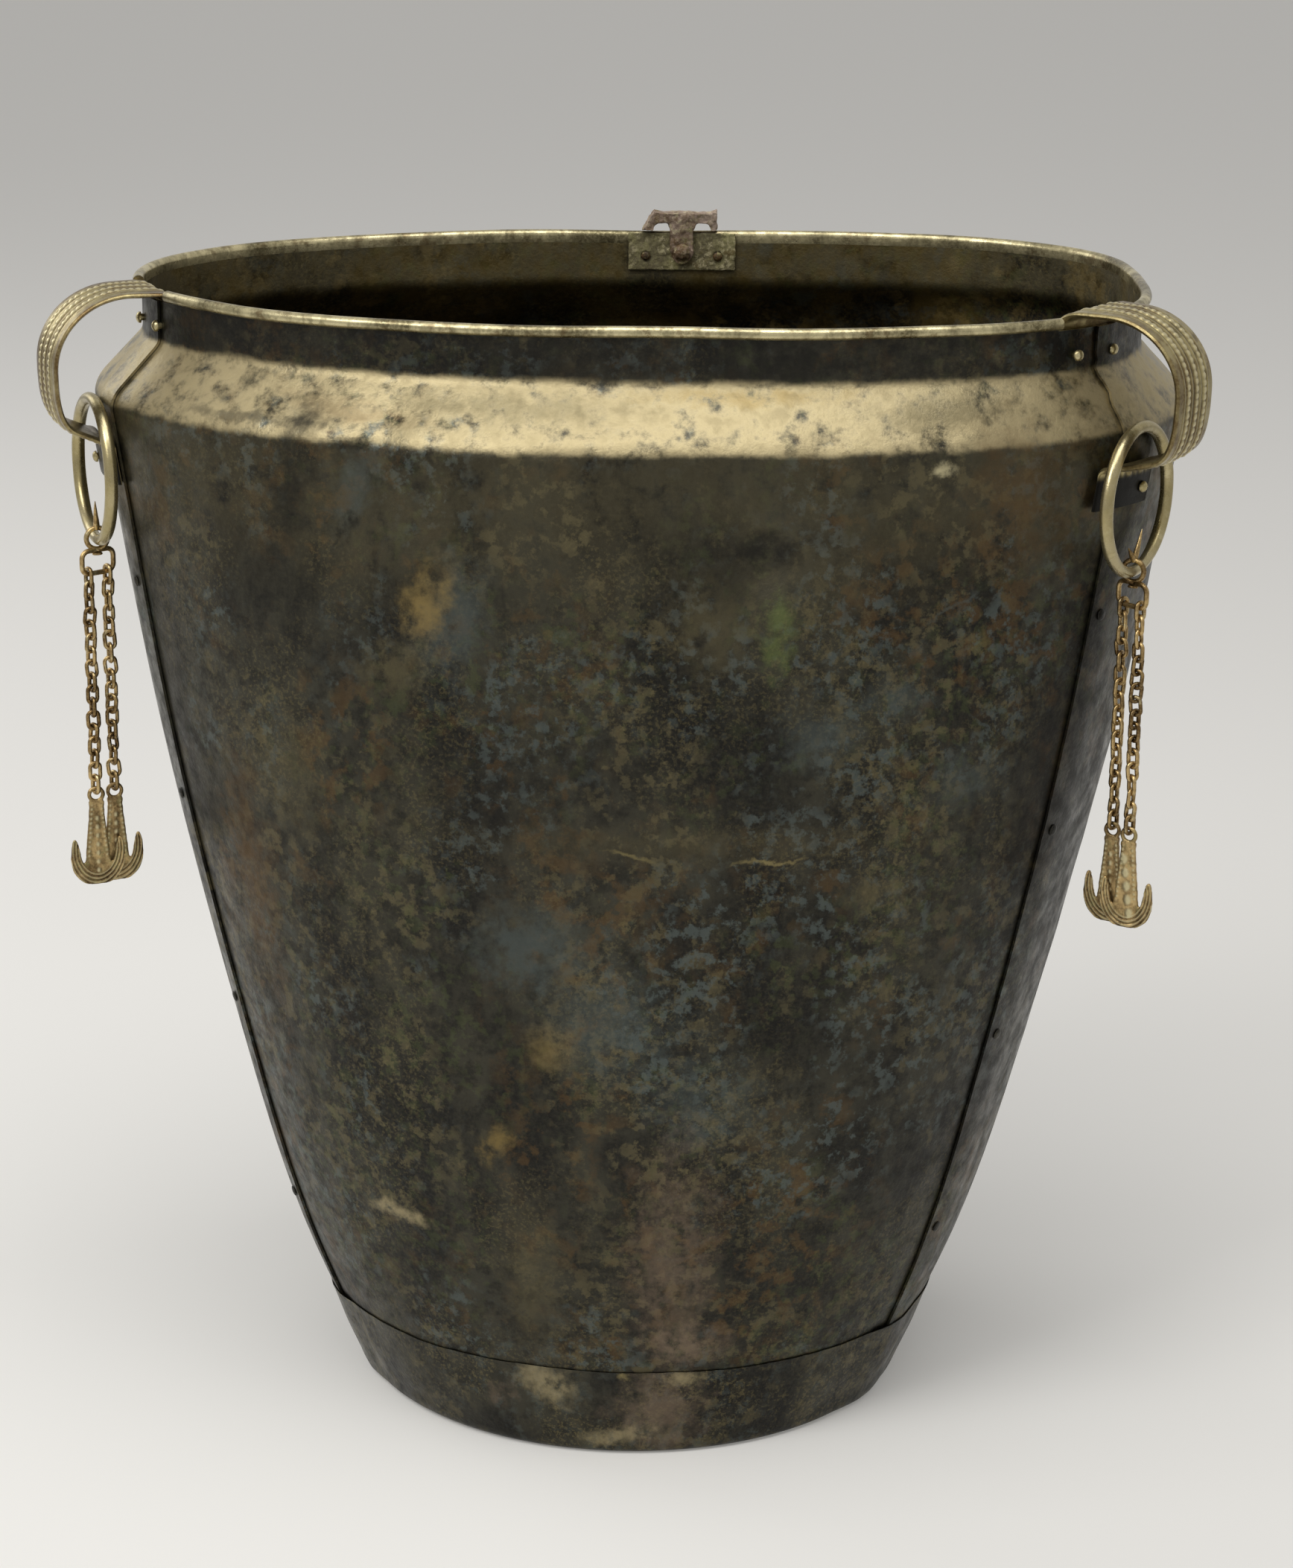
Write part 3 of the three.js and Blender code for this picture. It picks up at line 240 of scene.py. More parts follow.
# Lumps are rows of strength, size in millimetres and the noise's shift
WALL_LUMPS = ((1, 75, 3.1), (0.45, 26, 8.7), (0.14, 9, 1.9))
EDGE_LUMPS = ((0.6, 15, 5.3), (0.4, 5, 2.7))
RIM_LUMPS = ((0.7, 60, 9.4),)
TEAR_LUMPS = ((1.2, 5, 2.2), (0.5, 1.8, 7.7))
RAGGED_LUMPS = ((0.12, 6, 4.4),)
PAN_EDGE_LUMPS = ((0.8, 22, 6.6), (0.25, 5, 2.5))

# Millimetres above and below the shoulder's edge over which its own lumps fade
EDGE_REACH = 9
# Share of the unevenness by which the whole wall is set in, so that it stays in its plain form
SET_IN = 0.3
# The wall is plain and set in by a little, in millimetres, up to some degrees from a handle's middle,
# so that the rings swing clear of it, and over more degrees this ends
RING_ROOM, CALM_REACH, CALM_FADE = 0.3, 15, 12
# Dents start this far in front of the vessel's middle, in millimetres
FRONT_FROM = 30
# Half the step, in degrees or millimetres, over which slopes are taken
NEAR = 0.5


def smooth(value):
    k = np.clip(value, 0, 1)
    return k * k * (3 - 2 * k)


def lerp(a, b, k):
    return a + (b - a) * k


def unit(vectors):
    return vectors / np.linalg.norm(vectors, axis=-1, keepdims=True)


def rough(points, size, seed):
    """Smooth noise from -1 to 1 at points in millimetres, with lumps of a size in millimetres."""
    flat = points.reshape(-1, 3) / size + seed
    return np.array([noise.noise(Vector(p)) for p in flat.tolist()]).reshape(points.shape[:-1])


def lumps(points, rows):
    return sum(strength * rough(points, size, seed) for strength, size, seed in rows)


class Wall:
    """The vessel's wall, by place round the vessel in degrees and height in millimetres"""

    def __init__(self):
        v = self.vessel = in_mm("situla_vessel")
        self.shoulder = v.rim_height - v.neck_length - v.shoulder_drop
        self.neck = v.rim_height - v.neck_length
        self.roll_inner = v.core_radius + v.gap
        self.roll_outer = self.roll_inner + v.sheet_thickness
        self.roll_height = v.rim_height - self.roll_outer
        self.neck_top = self.roll_height - self.roll_outer - 2 * v.gap
        self.lap_step = v.sheet_thickness + v.gap
        self.mouth = (0, v.mouth_half_width, v.mouth_depth, v.mouth_depth)
        edge = (self.shoulder, v.mouth_half_width + v.shoulder_side_run,
                v.mouth_depth + v.shoulder_front_run, v.mouth_depth + v.shoulder_front_run)
        self.stations = np.array([*BODY_STATIONS, edge], float)
        rows = len(self.stations)
        before = self.stations[[max(i - 1, 0) for i in range(rows)]]
        after = self.stations[[min(i + 1, rows - 1) for i in range(rows)]]
        self.slopes = (after - before) / (after[:, :1] - before[:, :1])
        self.right_lap_end = self.beside(RIGHT_SEAM, v.lap_width, BELLY_HEIGHT)
        self.left_lap_end = self.beside(LEFT_SEAM, -v.lap_width, BELLY_HEIGHT)

    def body_size(self, height, column):
        """A size of the body, on a smooth curve through its stations."""
        index = np.searchsorted(self.stations[:, 0], height, side="right") - 1
        index = np.clip(index, 0, len(self.stations) - 2)
        low, high = self.stations[index], self.stations[index + 1]
        span = high[..., 0] - low[..., 0]
        k = (height - low[..., 0]) / span
        rise = high[..., column] - low[..., column]
        start = self.slopes[index, column] * span
        end = self.slopes[index + 1, column] * span
        square, cube = 3 * rise - 2 * start - end, start + end - 2 * rise
        return low[..., column] + start * k + square * k ** 2 + cube * k ** 3

    def sharp_size(self, height, column):
        """A size of the plan at any height, with sharp corners at the shoulder and the neck."""
        k = np.clip((height - self.shoulder) / self.vessel.shoulder_drop, 0, 1)
        under = self.body_size(np.minimum(height, self.shoulder), column)
        return lerp(under, self.mouth[column], k)

    def plan_size(self, height, column):
        """A size of the plan with the corners at the shoulder's edge and the foot of the neck softened."""
        size = self.sharp_size(height, column)
        corners = ((self.shoulder, self.vessel.shoulder_corner), (self.neck, self.vessel.neck_corner))
        for middle, radius in corners:
            u = np.clip((height - middle + radius) / (2 * radius), 0, 1)
            low, top, high = [self.sharp_size(np.float64(middle + d), column) for d in (-radius, 0, radius)]
            curve = (1 - u) ** 2 * low + 2 * u * (1 - u) * top + u ** 2 * high
            size = np.where(abs(height - middle) < radius, curve, size)
        return size

    def squareness(self, angle, height):
        """How square the plan is: an ellipse at the foot, and each quarter in its own way at the mouth."""
        is_right, is_back = np.cos(angle) >= 0, np.sin(angle) >= 0
        front_left, front_right, back_right, back_left = MOUTH_SQUARENESS
        mouth = np.where(is_back, np.where(is_right, back_right, back_left),
                         np.where(is_right, front_right, front_left))
        body = np.minimum(mouth, BODY_SQUARENESS)
        under = lerp(FOOT_SQUARENESS, body, height / self.shoulder)
        over = lerp(body, mouth, smooth((height - self.shoulder) / self.vessel.shoulder_drop))
        return np.where(height < self.shoulder, under, over)

    def face(self, place, height):
        """A point of the plain outer face."""
        place, height = np.broadcast_arrays(np.asarray(place, float), np.asarray(height, float))
        angle = np.radians(place)
        power = 2 / self.squareness(angle, height)
        depth = np.where(np.sin(angle) >= 0, self.plan_size(height, 3), self.plan_size(height, 2))
        x = self.plan_size(height, 1) * np.sign(np.cos(angle)) * abs(np.cos(angle)) ** power
        y = depth * np.sign(np.sin(angle)) * abs(np.sin(angle)) ** power
        return np.stack([x, y, height], -1)

    def normal(self, place, height):
        place, height = np.broadcast_arrays(np.asarray(place, float), np.asarray(height, float))
        along = self.face(place + NEAR, height) - self.face(place - NEAR, height)
        low = np.maximum(height - NEAR, 0)
        climb = self.face(place, low + 2 * NEAR) - self.face(place, low)
        return unit(np.cross(along, climb))

    def flat_normal(self, place, height):
        return unit(self.normal(place, height) * (1, 1, 0))

    def beside(self, place, distance, height):
        """The place that lies a distance along the plan from another place."""
        steps = 16
        found = np.asarray(place, float)
        for _ in range(steps):
            step = self.face(found + NEAR, height) - self.face(found - NEAR, height)
            found = found + np.asarray(distance) / steps / np.linalg.norm(step, axis=-1)
        return found

    def past_lap(self, place, seam, lap_end):
        """How far a place is past a seam's lap, in millimetres, where 0 is in the lap."""
        step = self.face(seam + NEAR, BELLY_HEIGHT) - self.face(seam - NEAR, BELLY_HEIGHT)
        low, high = min(seam, lap_end), max(seam, lap_end)
        turned = (np.asarray(place) - low) % 360
        past = np.minimum(turned - (high - low), 360 - turned)
        return np.maximum(past, 0) * np.linalg.norm(step)

    def lap_offset(self, place):
        """How far the outer layer stands off the plain wall, to pass over the lap."""
        past = np.minimum(self.past_lap(place, RIGHT_SEAM, self.right_lap_end),
                          self.past_lap(place, LEFT_SEAM, self.left_lap_end))
        return self.lap_step * np.maximum(1 - past / self.vessel.lap_ramp, 0)

    def calm(self, place):
        """0 near the handles, where the wall keeps its plain form for the rings, and 1 away from them."""
        apart = [abs((np.asarray(place) - middle + 180) % 360 - 180) for middle in HANDLE_PLACE.values()]
        return smooth((np.minimum(*apart) - CALM_REACH) / CALM_FADE)

    def uneven(self, place, height):
        """How far the hammered wall strays from its plain form, with its dents."""
        face = self.face(place, height)
        away = self.calm(place)
        amount = self.vessel.unevenness
        edge = np.exp(-((height - self.shoulder) / EDGE_REACH) ** 2)
        stray = amount * lumps(face, WALL_LUMPS) + edge * lumps(face, EDGE_LUMPS) - SET_IN * amount
        front = smooth((-face[..., 1] - FRONT_FROM) / FRONT_FROM)
        for x, z, wide, high, tilt, depth in DENTS:
            turn = math.radians(tilt)
            across, upward = face[..., 0] - x, face[..., 2] - z
            u = (across * math.cos(turn) + upward * math.sin(turn)) / wide
            w = (upward * math.cos(turn) - across * math.sin(turn)) / high
            stray = stray + front * depth * np.exp(-(u ** 2 + w ** 2))
        above_foot = smooth((height - 1) / 6)
        return (stray * away - RING_ROOM * (1 - away)) * above_foot

    def point(self, place, height, offset):
        """A point of the hammered wall, at an offset outward from its outer face."""
        place, height = np.broadcast_arrays(np.asarray(place, float), np.asarray(height, float))
        reach = np.asarray(offset) + self.uneven(place, height)
        return self.face(place, height) + self.normal(place, height) * reach[..., None]

    def columns(self, start, end, count, kept):
        """Places from start to end, evenly spaced along the wall, that take in the kept places."""
        fine_steps = 6000
        fine = np.linspace(start, end, fine_steps)
        run = np.zeros(fine_steps)
        for height in (self.neck, BELLY_HEIGHT / 2):
            steps = np.linalg.norm(np.diff(self.face(fine, height), axis=0), axis=1)
            run[1:] += np.cumsum(steps) / steps.sum()
        even = np.interp(np.linspace(0, run[-1], count), run, fine)
        for place in kept:
            even[np.argmin(abs(even - place))] = place
        return np.sort(even)


# Meshes

def grid_faces(rows, count, is_loop):
    """Four-sided faces between closed outlines of equal count, row by row."""
    row = np.arange(rows if is_loop else rows - 1)[:, None]
    i = np.arange(count)[None, :]
    near, far = row * count, ((row + 1) % rows) * count
    turn = (i + 1) % count
    return np.stack([near + i, near + turn, far + turn, far + i], -1).reshape(-1, 4).tolist()


def end_strip(count, first):
    """Faces that close a thin outline by joining its outer half to its inner half."""
    last = first + count - 1
    return [(first + k, first + k + 1, last - 1 - k, last - k) for k in range(count // 2 - 1)]


def loft(sections, is_loop=False, ends="face"):
    """One closed solid through outlines of points; ends is how its two ends are closed."""
    sections = np.asarray(sections)
    rows, count, _ = sections.shape
    faces = grid_faces(rows, count, is_loop)
    if not is_loop:
        last = (rows - 1) * count
        if ends == "strip":
            faces += end_strip(count, 0) + end_strip(count, last)
        else:
            faces += [tuple(range(count)), tuple(range(last, last + count))]
    return sections.reshape(-1, 3), faces


def joined(solids):
    """Several solids as one list of points and one of faces."""
    points, faces, first = [], [], 0
    for solid_points, solid_faces in solids:
        points.append(np.asarray(solid_points))
        faces += [tuple(first + i for i in face) for face in solid_faces]
        first += len(solid_points)
    return np.concatenate(points), faces


def tube(path, radii, reference, sides=12, is_loop=False):
    """A round wire along a path of points; the reference direction never runs along the path."""
    path = np.asarray(path, float)
    ahead = np.roll(path, -1, 0) - np.roll(path, 1, 0) if is_loop else np.gradient(path, axis=0)
    ahead = unit(ahead)
    reference = np.broadcast_to(np.asarray(reference, float), path.shape)
    across = unit(reference - ahead * (reference * ahead).sum(1)[:, None])
    beside = np.cross(ahead, across)
    angle = np.arange(sides) / sides * 2 * math.pi
    radii = np.broadcast_to(radii, len(path))[:, None, None]
    cosines, sines = np.cos(angle)[None, :, None], np.sin(angle)[None, :, None]
    spokes = across[:, None] * cosines + beside[:, None] * sines
    return loft(path[:, None] + spokes * radii, is_loop)


def lathe(profile, sides=24):
    """A solid turned from radius and height pairs, closed at both ends on its axis."""
    angle = np.arange(sides) / sides * 2 * math.pi
    rings = [np.stack([r * np.cos(angle), r * np.sin(angle), np.full(sides, z)], -1) for r, z in profile]
    return loft(rings)


def placed(solid, matrix):
    points, faces = solid
    turned = np.asarray(points) @ np.array(matrix.to_3x3()).T + np.array(matrix.translation)
    return turned, faces


def solid_mesh(name, solid):
    """A mesh in metres of a solid in millimetres, with its faces turned outward."""
    points, faces = solid
    mesh = bpy.data.meshes.new(name)
    mesh.from_pydata((np.asarray(points) * MM).tolist(), [], faces)
    work = bmesh.new()
    work.from_mesh(mesh)
    bmesh.ops.recalc_face_normals(work, faces=work.faces)
    work.to_mesh(mesh)
    work.free()
    return mesh


def make_piece(name, solid, material, body, nodes, sharp=50, face_kinds=None):
    """Makes the object and hangs it on its CAD body in place of its CAD nodes.

    Edges over the angle sharp, in degrees, stay sharp. face_kinds picks one of several materials
    for each face.
    """
    mesh = solid_mesh(name, solid)
    for one in material if isinstance(material, list) else [material]:
        mesh.materials.append(one)
    if face_kinds is not None:
        mesh.polygons.foreach_set("material_index", np.asarray(face_kinds, np.int32))
    mesh.shade_smooth()
    mesh.set_sharp_from_angle(angle=math.radians(sharp))
    piece = bpy.data.objects.new(name, mesh)
    bpy.context.scene.collection.objects.link(piece)
    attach(piece, body)
    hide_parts(*nodes)
    return piece


def melted(solid, voxel, rounds):
    """A solid remeshed into small even faces and softened, as points, their normals and faces."""
    source = solid_mesh("melt", solid)
    piece = bpy.data.objects.new("melt", source)
    bpy.context.scene.collection.objects.link(piece)
    remesh = piece.modifiers.new("even faces", "REMESH")
    remesh.mode = "VOXEL"
    remesh.voxel_size = voxel * MM
    soften = piece.modifiers.new("soften", "SMOOTH")
    soften.factor = 0.5
    soften.iterations = rounds
    bpy.context.view_layer.update()
    depsgraph = bpy.context.evaluated_depsgraph_get()
    final = bpy.data.meshes.new_from_object(piece.evaluated_get(depsgraph))
    points, normals = np.zeros(len(final.vertices) * 3), np.zeros(len(final.vertices) * 3)
    final.vertices.foreach_get("co", points)
    final.vertices.foreach_get("normal", normals)
    faces = [tuple(p.vertices) for p in final.polygons]
    bpy.data.objects.remove(piece)
    for mesh in (source, final):
        bpy.data.meshes.remove(mesh)
    return points.reshape(-1, 3) / MM, normals.reshape(-1, 3), faces


def node_solid(name):
    """A copy of a CAD node's own mesh, in millimetres."""
    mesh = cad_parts[name].data
    points = np.array([v.co for v in mesh.vertices]) / MM
    merged, index = np.unique(points.round(3), axis=0, return_inverse=True)
    faces = [tuple(index.reshape(-1)[i] for i in p.vertices) for p in mesh.polygons]
    return merged, [face for face in faces if len(set(face)) == len(face)]


# Materials

def add_node(tree, kind, inputs=None, **settings):
    """Adds a node, sets its settings, and gives each input a value or links it to another node's output."""
    node = tree.nodes.new(kind)
    for key, value in settings.items():
        setattr(node, key, value)
    for key, value in (inputs or {}).items():
        if isinstance(value, bpy.types.NodeSocket):
            tree.links.new(value, node.inputs[key])
        else:
            node.inputs[key].default_value = value
    return node


# Where patterns are cut: they don't show under the first value and show in full over the second
CLOUD_CUT, FLAKE_CUT, GRAIN_CUT = (0.42, 0.6), (0.46, 0.6), (0.4, 0.66)
LAYER_CUT, DRIFT_CUT = (0.5, 0.6), (0.45, 0.6)
SPOT_BREAKS, BAND_BREAKS = (0.3, 0.55), (0.28, 0.56)
# A spot's edge, in shares of its half size with the ragged pattern added, from its outside to its inside
SPOT_EDGE, SPOT_RAGGED = (2.2, 1.1), 1.9
HOLLOWS, RAISED = (0.36, 0.05), (0.4, 1.0)
NOISE_ROUGHNESS = 0.66


class Bronze:
    """A bronze with its patina, in millimetres; each pattern's scale is one over its length.

    base and dark mix in clouds and in grain. Layers, spots and bands are laid over them as they are called.
    A layer is its colour, the size of its flakes, the size of its drifts, and how much of it there is.
    A spot is its middle, half width, half height, tilt in degrees, colour and strength.
    A band is its lowest and highest height, the softness of its edges, colour and strength.
    """

    def __init__(self, name, base, dark, metallic=0.85, roughness=(0.3, 0.5), cloud=40, flake=9, grain=1.2):
        self.material = bpy.data.materials.new(name)
        self.material.use_nodes = True
        self.tree = self.material.node_tree
        self.shader = self.tree.nodes["Principled BSDF"]
        self.where = add_node(self.tree, "ShaderNodeTexCoord").outputs["Object"]
        self.flakes = self.pattern(flake, 8, 1.3)
        self.grains = self.pattern(grain, 3, 2.9)
        clouds = self.pattern(cloud, 6, 0, tall=2.2)
        self.tint = self.mixed(self.step(clouds, *CLOUD_CUT), base, dark)
        self.lay(dark, self.step(self.flakes, *FLAKE_CUT), 0.6)
        self.lay(base, self.step(self.grains, *GRAIN_CUT), 0.35)
        self.shader.inputs["Metallic"].default_value = metallic
        rough_range = {"To Min": roughness[0], "To Max": roughness[1]}
        self.roughness = add_node(self.tree, "ShaderNodeMapRange", {
            "Value": self.flakes, "From Min": 0.35, "From Max": 0.65, **rough_range}).outputs[0]

    def pattern(self, size, detail, shift, tall=1.0):
        """Noise with lumps of a size; tall stretches them upward."""
        moved = add_node(self.tree, "ShaderNodeMapping", {
            "Vector": self.where, "Location": (shift, shift * 0.7, shift * 0.3), "Scale": (1, 1, 1 / tall)})
        return add_node(self.tree, "ShaderNodeTexNoise", {
            "Vector": moved.outputs[0], "Scale": 1 / (size * MM), "Detail": detail,
            "Roughness": NOISE_ROUGHNESS}).outputs[0]

    def step(self, value, low, high):
        """0 under the low value and 1 over the high one, with soft ends."""
        return add_node(self.tree, "ShaderNodeMapRange", {
            "Value": value, "From Min": low, "From Max": high}, interpolation_type="SMOOTHSTEP").outputs[0]

    def times(self, a, b):
        return add_node(self.tree, "ShaderNodeMath", {0: a, 1: b}, operation="MULTIPLY").outputs[0]

    def mixed(self, share, a, b):
        return add_node(self.tree, "ShaderNodeMix", {0: share, 6: a, 7: b}, data_type="RGBA").outputs[2]

    def lay(self, tint, share, strength):
        """Lays a colour over what is there, by a share times a strength."""
        self.tint = self.mixed(self.times(share, strength), self.tint, tint)

    def layers(self, *rows):
        for number, (tint, flake, drift, amount) in enumerate(rows):
            shift = 5.3 + 1.9 * number
            flakes = self.step(self.pattern(flake, 7, shift), *LAYER_CUT)
            drifts = self.step(self.pattern(drift, 5, shift + 0.8, tall=1.5), *DRIFT_CUT)
            self.lay(tint, self.times(flakes, drifts), amount)
        return self

    def spots(self, *rows):
        drift = add_node(self.tree, "ShaderNodeTexNoise", {
            "Vector": self.where, "Scale": 1 / (11 * MM), "Detail": 6,
            "Roughness": NOISE_ROUGHNESS}).outputs["Color"]
        centred = add_node(self.tree, "ShaderNodeVectorMath", {0: drift, 1: (0.5, 0.5, 0.5)},
                           operation="SUBTRACT")
        warp = add_node(self.tree, "ShaderNodeVectorMath", {0: centred.outputs[0], "Scale": 9 * MM},
                        operation="SCALE")
        bent = add_node(self.tree, "ShaderNodeVectorMath", {0: self.where, 1: warp.outputs[0]}).outputs[0]
        ragged = self.times(self.pattern(6, 8, 8.8), SPOT_RAGGED)
        for middle, half_width, half_height, tilt, tint, strength in rows:
            near = add_node(self.tree, "ShaderNodeMapping", {
                "Vector": bent, "Location": tuple(v * MM for v in middle),
                "Rotation": (0, -math.radians(tilt), 0),
                "Scale": (half_width * MM, half_width * MM, half_height * MM)}, vector_type="TEXTURE")
            distance = add_node(self.tree, "ShaderNodeVectorMath", {0: near.outputs[0]}, operation="LENGTH")
            edge = add_node(self.tree, "ShaderNodeMath", {0: distance.outputs["Value"], 1: ragged},
                            operation="ADD")
            share = self.step(edge.outputs[0], *SPOT_EDGE)
            broken = self.step(self.flakes, *SPOT_BREAKS)
            self.lay(tint, self.times(share, broken), strength)
        return self

    def bands(self, *rows):
        height = add_node(self.tree, "ShaderNodeSeparateXYZ", {0: self.where}).outputs["Z"]
        for low, high, soft, tint, strength in rows:
            wavy = self.times(self.pattern(4 * soft + 8, 5, 3.7), 4 * soft * MM)
            uneven = add_node(self.tree, "ShaderNodeMath", {0: height, 1: wavy}, operation="ADD").outputs[0]
            start, end = (low + 2 * soft) * MM, (high + 2 * soft) * MM
            edge = soft * MM
            above = self.step(uneven, start - edge, start + edge)
            inside = self.times(above, self.step(uneven, end + edge, end - edge))
            broken = self.step(self.flakes, *BAND_BREAKS)
            self.lay(tint, self.times(inside, broken), strength)
        return self

    def relief(self, tint, hollow_tint):
        """Wears raised places to one tint and stains hollows with another, by the attribute "relief"; where
        the attribute is set near 0 as painted shade, as on the straps' plates, the hollow tint paints that
        shade.
        """
        relief = add_node(self.tree, "ShaderNodeAttribute", attribute_name="relief").outputs["Fac"]
        hollow = self.mixed(self.step(relief, *HOLLOWS), self.tint, hollow_tint)
        self.tint = self.mixed(self.step(relief, *RAISED), hollow, tint)
        return self

    def finished(self, marks=9, marks_depth=0.2, flake_depth=0.06, grain_depth=0.04):
        """Gives the shader its colour and gloss, and hammer marks, flaked skin and grain of some depth."""
        marks_pattern = add_node(self.tree, "ShaderNodeTexVoronoi", {
            "Vector": self.where, "Scale": 1 / (marks * MM), "Smoothness": 0.9}, feature="SMOOTH_F1")
        normal = None
        for height, depth in ((marks_pattern.outputs["Distance"], marks_depth),
                              (self.flakes, flake_depth * 4), (self.grains, grain_depth * 3)):
            inputs = {"Height": height, "Strength": 1.0, "Distance": depth * MM}
            if normal is not None:
                inputs["Normal"] = normal
            normal = add_node(self.tree, "ShaderNodeBump", inputs).outputs[0]
        self.tree.links.new(normal, self.shader.inputs["Normal"])
        self.tree.links.new(self.roughness, self.shader.inputs["Roughness"])
        self.tree.links.new(self.tint, self.shader.inputs["Base Color"])
        return self.material


def sheet_bronzes():
    """The bronzes of the body sheets: outside, inside and rim."""
    c = bpy.context.scene.situla_colours
    # Hammered sheet bronze: near-black olive patina of satin gloss over metal, which breaks up into tan and
    # blue grey crusts, with a pale shoulder that is partly its own tan skin and partly a painted highlight,
    # painted shade on the neck, in two dents and over the right flank, a painted dark reflection across the
    # middle of the front, painted pinkish tan highlights low on the front and painted glints on the crease
    outside = Bronze("Hammered sheet bronze, dark olive patina", c.wall, c.dark_stain_and_shade, metallic=0.7,
                     roughness=(0.28, 0.56), cloud=46, flake=8, grain=1.6)
    outside.layers(
        (c.crust, 6, 80, 0.6), (c.umber, 9, 70, 0.5), (c.bloom, 5, 50, 0.7), (c.green, 5, 60, 0.15),
        (c.gold, 1.3, 46, 0.17))
    # The second band is the shoulder's pale tan skin, and in part a painted highlight from above
    outside.bands((322, 372, 20, c.crust, 0.32), (361.5, 382, 1.2, c.shoulder, 0.92),
                  # Painted shade on the neck under the rim
                  (383, 397, 2, c.dark_stain_and_shade, 0.6))
    outside.spots(
        ((-40, -112, 374), 46, 5, 0, c.crust, 0.6),
        ((-96, -96, 371), 30, 4, -6, c.umber, 0.45),
        ((34, -114, 378), 40, 3, 0, c.ochre, 0.6),
        ((96, -100, 373), 26, 6, 4, c.crust, 0.65),
        ((-125, -78, 366), 34, 1.6, 0, c.dark_stain_and_shade, 0.6),
        ((-93, -101, 345), 7, 22, -28, c.bloom, 0.5),
        # Painted shade in the concave left side of the dent at x -94
        ((-112, -92, 350), 10, 30, -14, c.dark_stain_and_shade, 0.75),
        ((-60, -112, 306), 14, 24, -20, c.bloom, 0.55),
        ((-68, -110, 312), 9, 15, -16, c.ochre, 0.75),
        ((-79, -107, 288), 15, 10, 20, c.crust, 0.55),
        # These two dark spots are painted shade on the upper wall of the dent at x 40
        ((40, -118, 331), 22, 9, 8, c.dark_stain_and_shade, 0.85),
        ((30, -119, 318), 10, 13, 0, c.dark_stain_and_shade, 0.75),
        ((24, -119, 306), 16, 20, 0, c.crust, 0.45),
        ((46, -118, 303), 6, 15, -6, c.green, 0.6),
        ((98, -105, 356), 5.5, 3, 0, c.worn, 0.85),
        ((122, -94, 345), 18, 30, 0, c.umber, 0.5),
        ((84, -106, 280), 12, 9, 0, c.bloom, 0.55),
        ((108, -98, 250), 16, 12, 0, c.bloom, 0.45),
        ((102, -103, 310), 16, 0.8, 31, c.bloom, 0.5),
        ((115, -98, 267), 8, 0.7, -42, c.bloom, 0.5),
        ((8, -121, 233), 84, 8, 0, c.crust, 0.3),
        # Two thin gold lines, painted glints on the crease at height 228
        ((46, -120, 227), 15, 1.0, 4, c.gold, 0.7),
        ((-2, -120, 229), 10, 0.9, -12, c.gold, 0.55),
        ((80, -110, 214), 12, 6, 0, c.crust, 0.6),
        ((-34, -118, 195), 22, 17, 10, c.bloom, 0.6),
        ((-8, -118, 168), 26, 22, 0, c.bloom, 0.5),
        ((22, -114, 140), 20, 20, 0, c.bloom, 0.4),
        ((-28, -116, 160), 9, 10, 0, c.ochre, 0.4),
        ((60, -112, 268), 17, 12, 0, c.bloom, 0.45),
        ((-128, -70, 215), 12, 60, 0, c.umber, 0.55),
        ((-112, -84, 248), 16, 26, 0, c.crust, 0.45),
        # Painted dark reflection across the middle of the front
        ((-40, -115, 250), 60, 30, 0, c.dark_stain_and_shade, 0.45),
        # Painted shade over the right flank
        ((150, -60, 210), 50, 140, 0, c.dark_stain_and_shade, 0.75),
        ((-47, -109, 122), 5, 12, -30, c.ochre, 0.65),
        ((-80, -86, 87), 14, 3.4, -8, c.shoulder, 0.75),
        # Painted highlight: a tall pinkish tan reflection low on the front
        ((14, -105, 84), 17, 56, 0, c.warm_highlight, 0.5),
        ((-34, -104, 70), 12, 40, 0, c.crust, 0.4),
        # Painted highlight just above the pan
        ((20, -102, 44), 18, 9, 0, c.warm_highlight, 0.6))
    # Hammered sheet bronze inside: duller and golden brown, with grey green drifts, as it was not rubbed
    inside = Bronze("Hammered sheet bronze, golden brown inside", c.inside, c.dark_stain_and_shade, metallic=0.6,
                    roughness=(0.4, 0.65), cloud=34, flake=8)
    inside.layers((c.ochre, 9, 40, 0.6), (c.green, 6, 50, 0.2), (c.bloom, 7, 45, 0.4),
                  (c.gold, 1.5, 30, 0.3))
    inside.bands((380, 398, 4, c.crust, 0.5))
    # Rolled rim bronze: the palest and glossiest line of the vessel, rubbed by hands and lid, and its pale
    # colour is in part a painted highlight
    rim = Bronze("Rolled rim bronze, rubbed and painted highlight", c.worn, c.crust, metallic=0.85, roughness=(0.24, 0.4),
                 cloud=30, flake=5)
    rim.layers((c.umber, 4, 26, 0.5))
    return [outside.finished(14, 0.2), inside.finished(12, 0.2), rim.finished(6, 0.06, 0.02, 0.015)]


# Pieces of the vessel

# Rows of points below the shoulder, round its edge, up its slope, round the neck's foot and up the neck
SHEET_ROWS = (74, 9, 6, 6, 6)
FRONT_COLUMNS, BACK_COLUMNS, CORE_COLUMNS, PAN_COLUMNS = 118, 190, 160, 261
# The rolled rim turns from its foot over the top and back under, in degrees and points
ROLL_TURN, ROLL_POINTS = (180, -110), 18
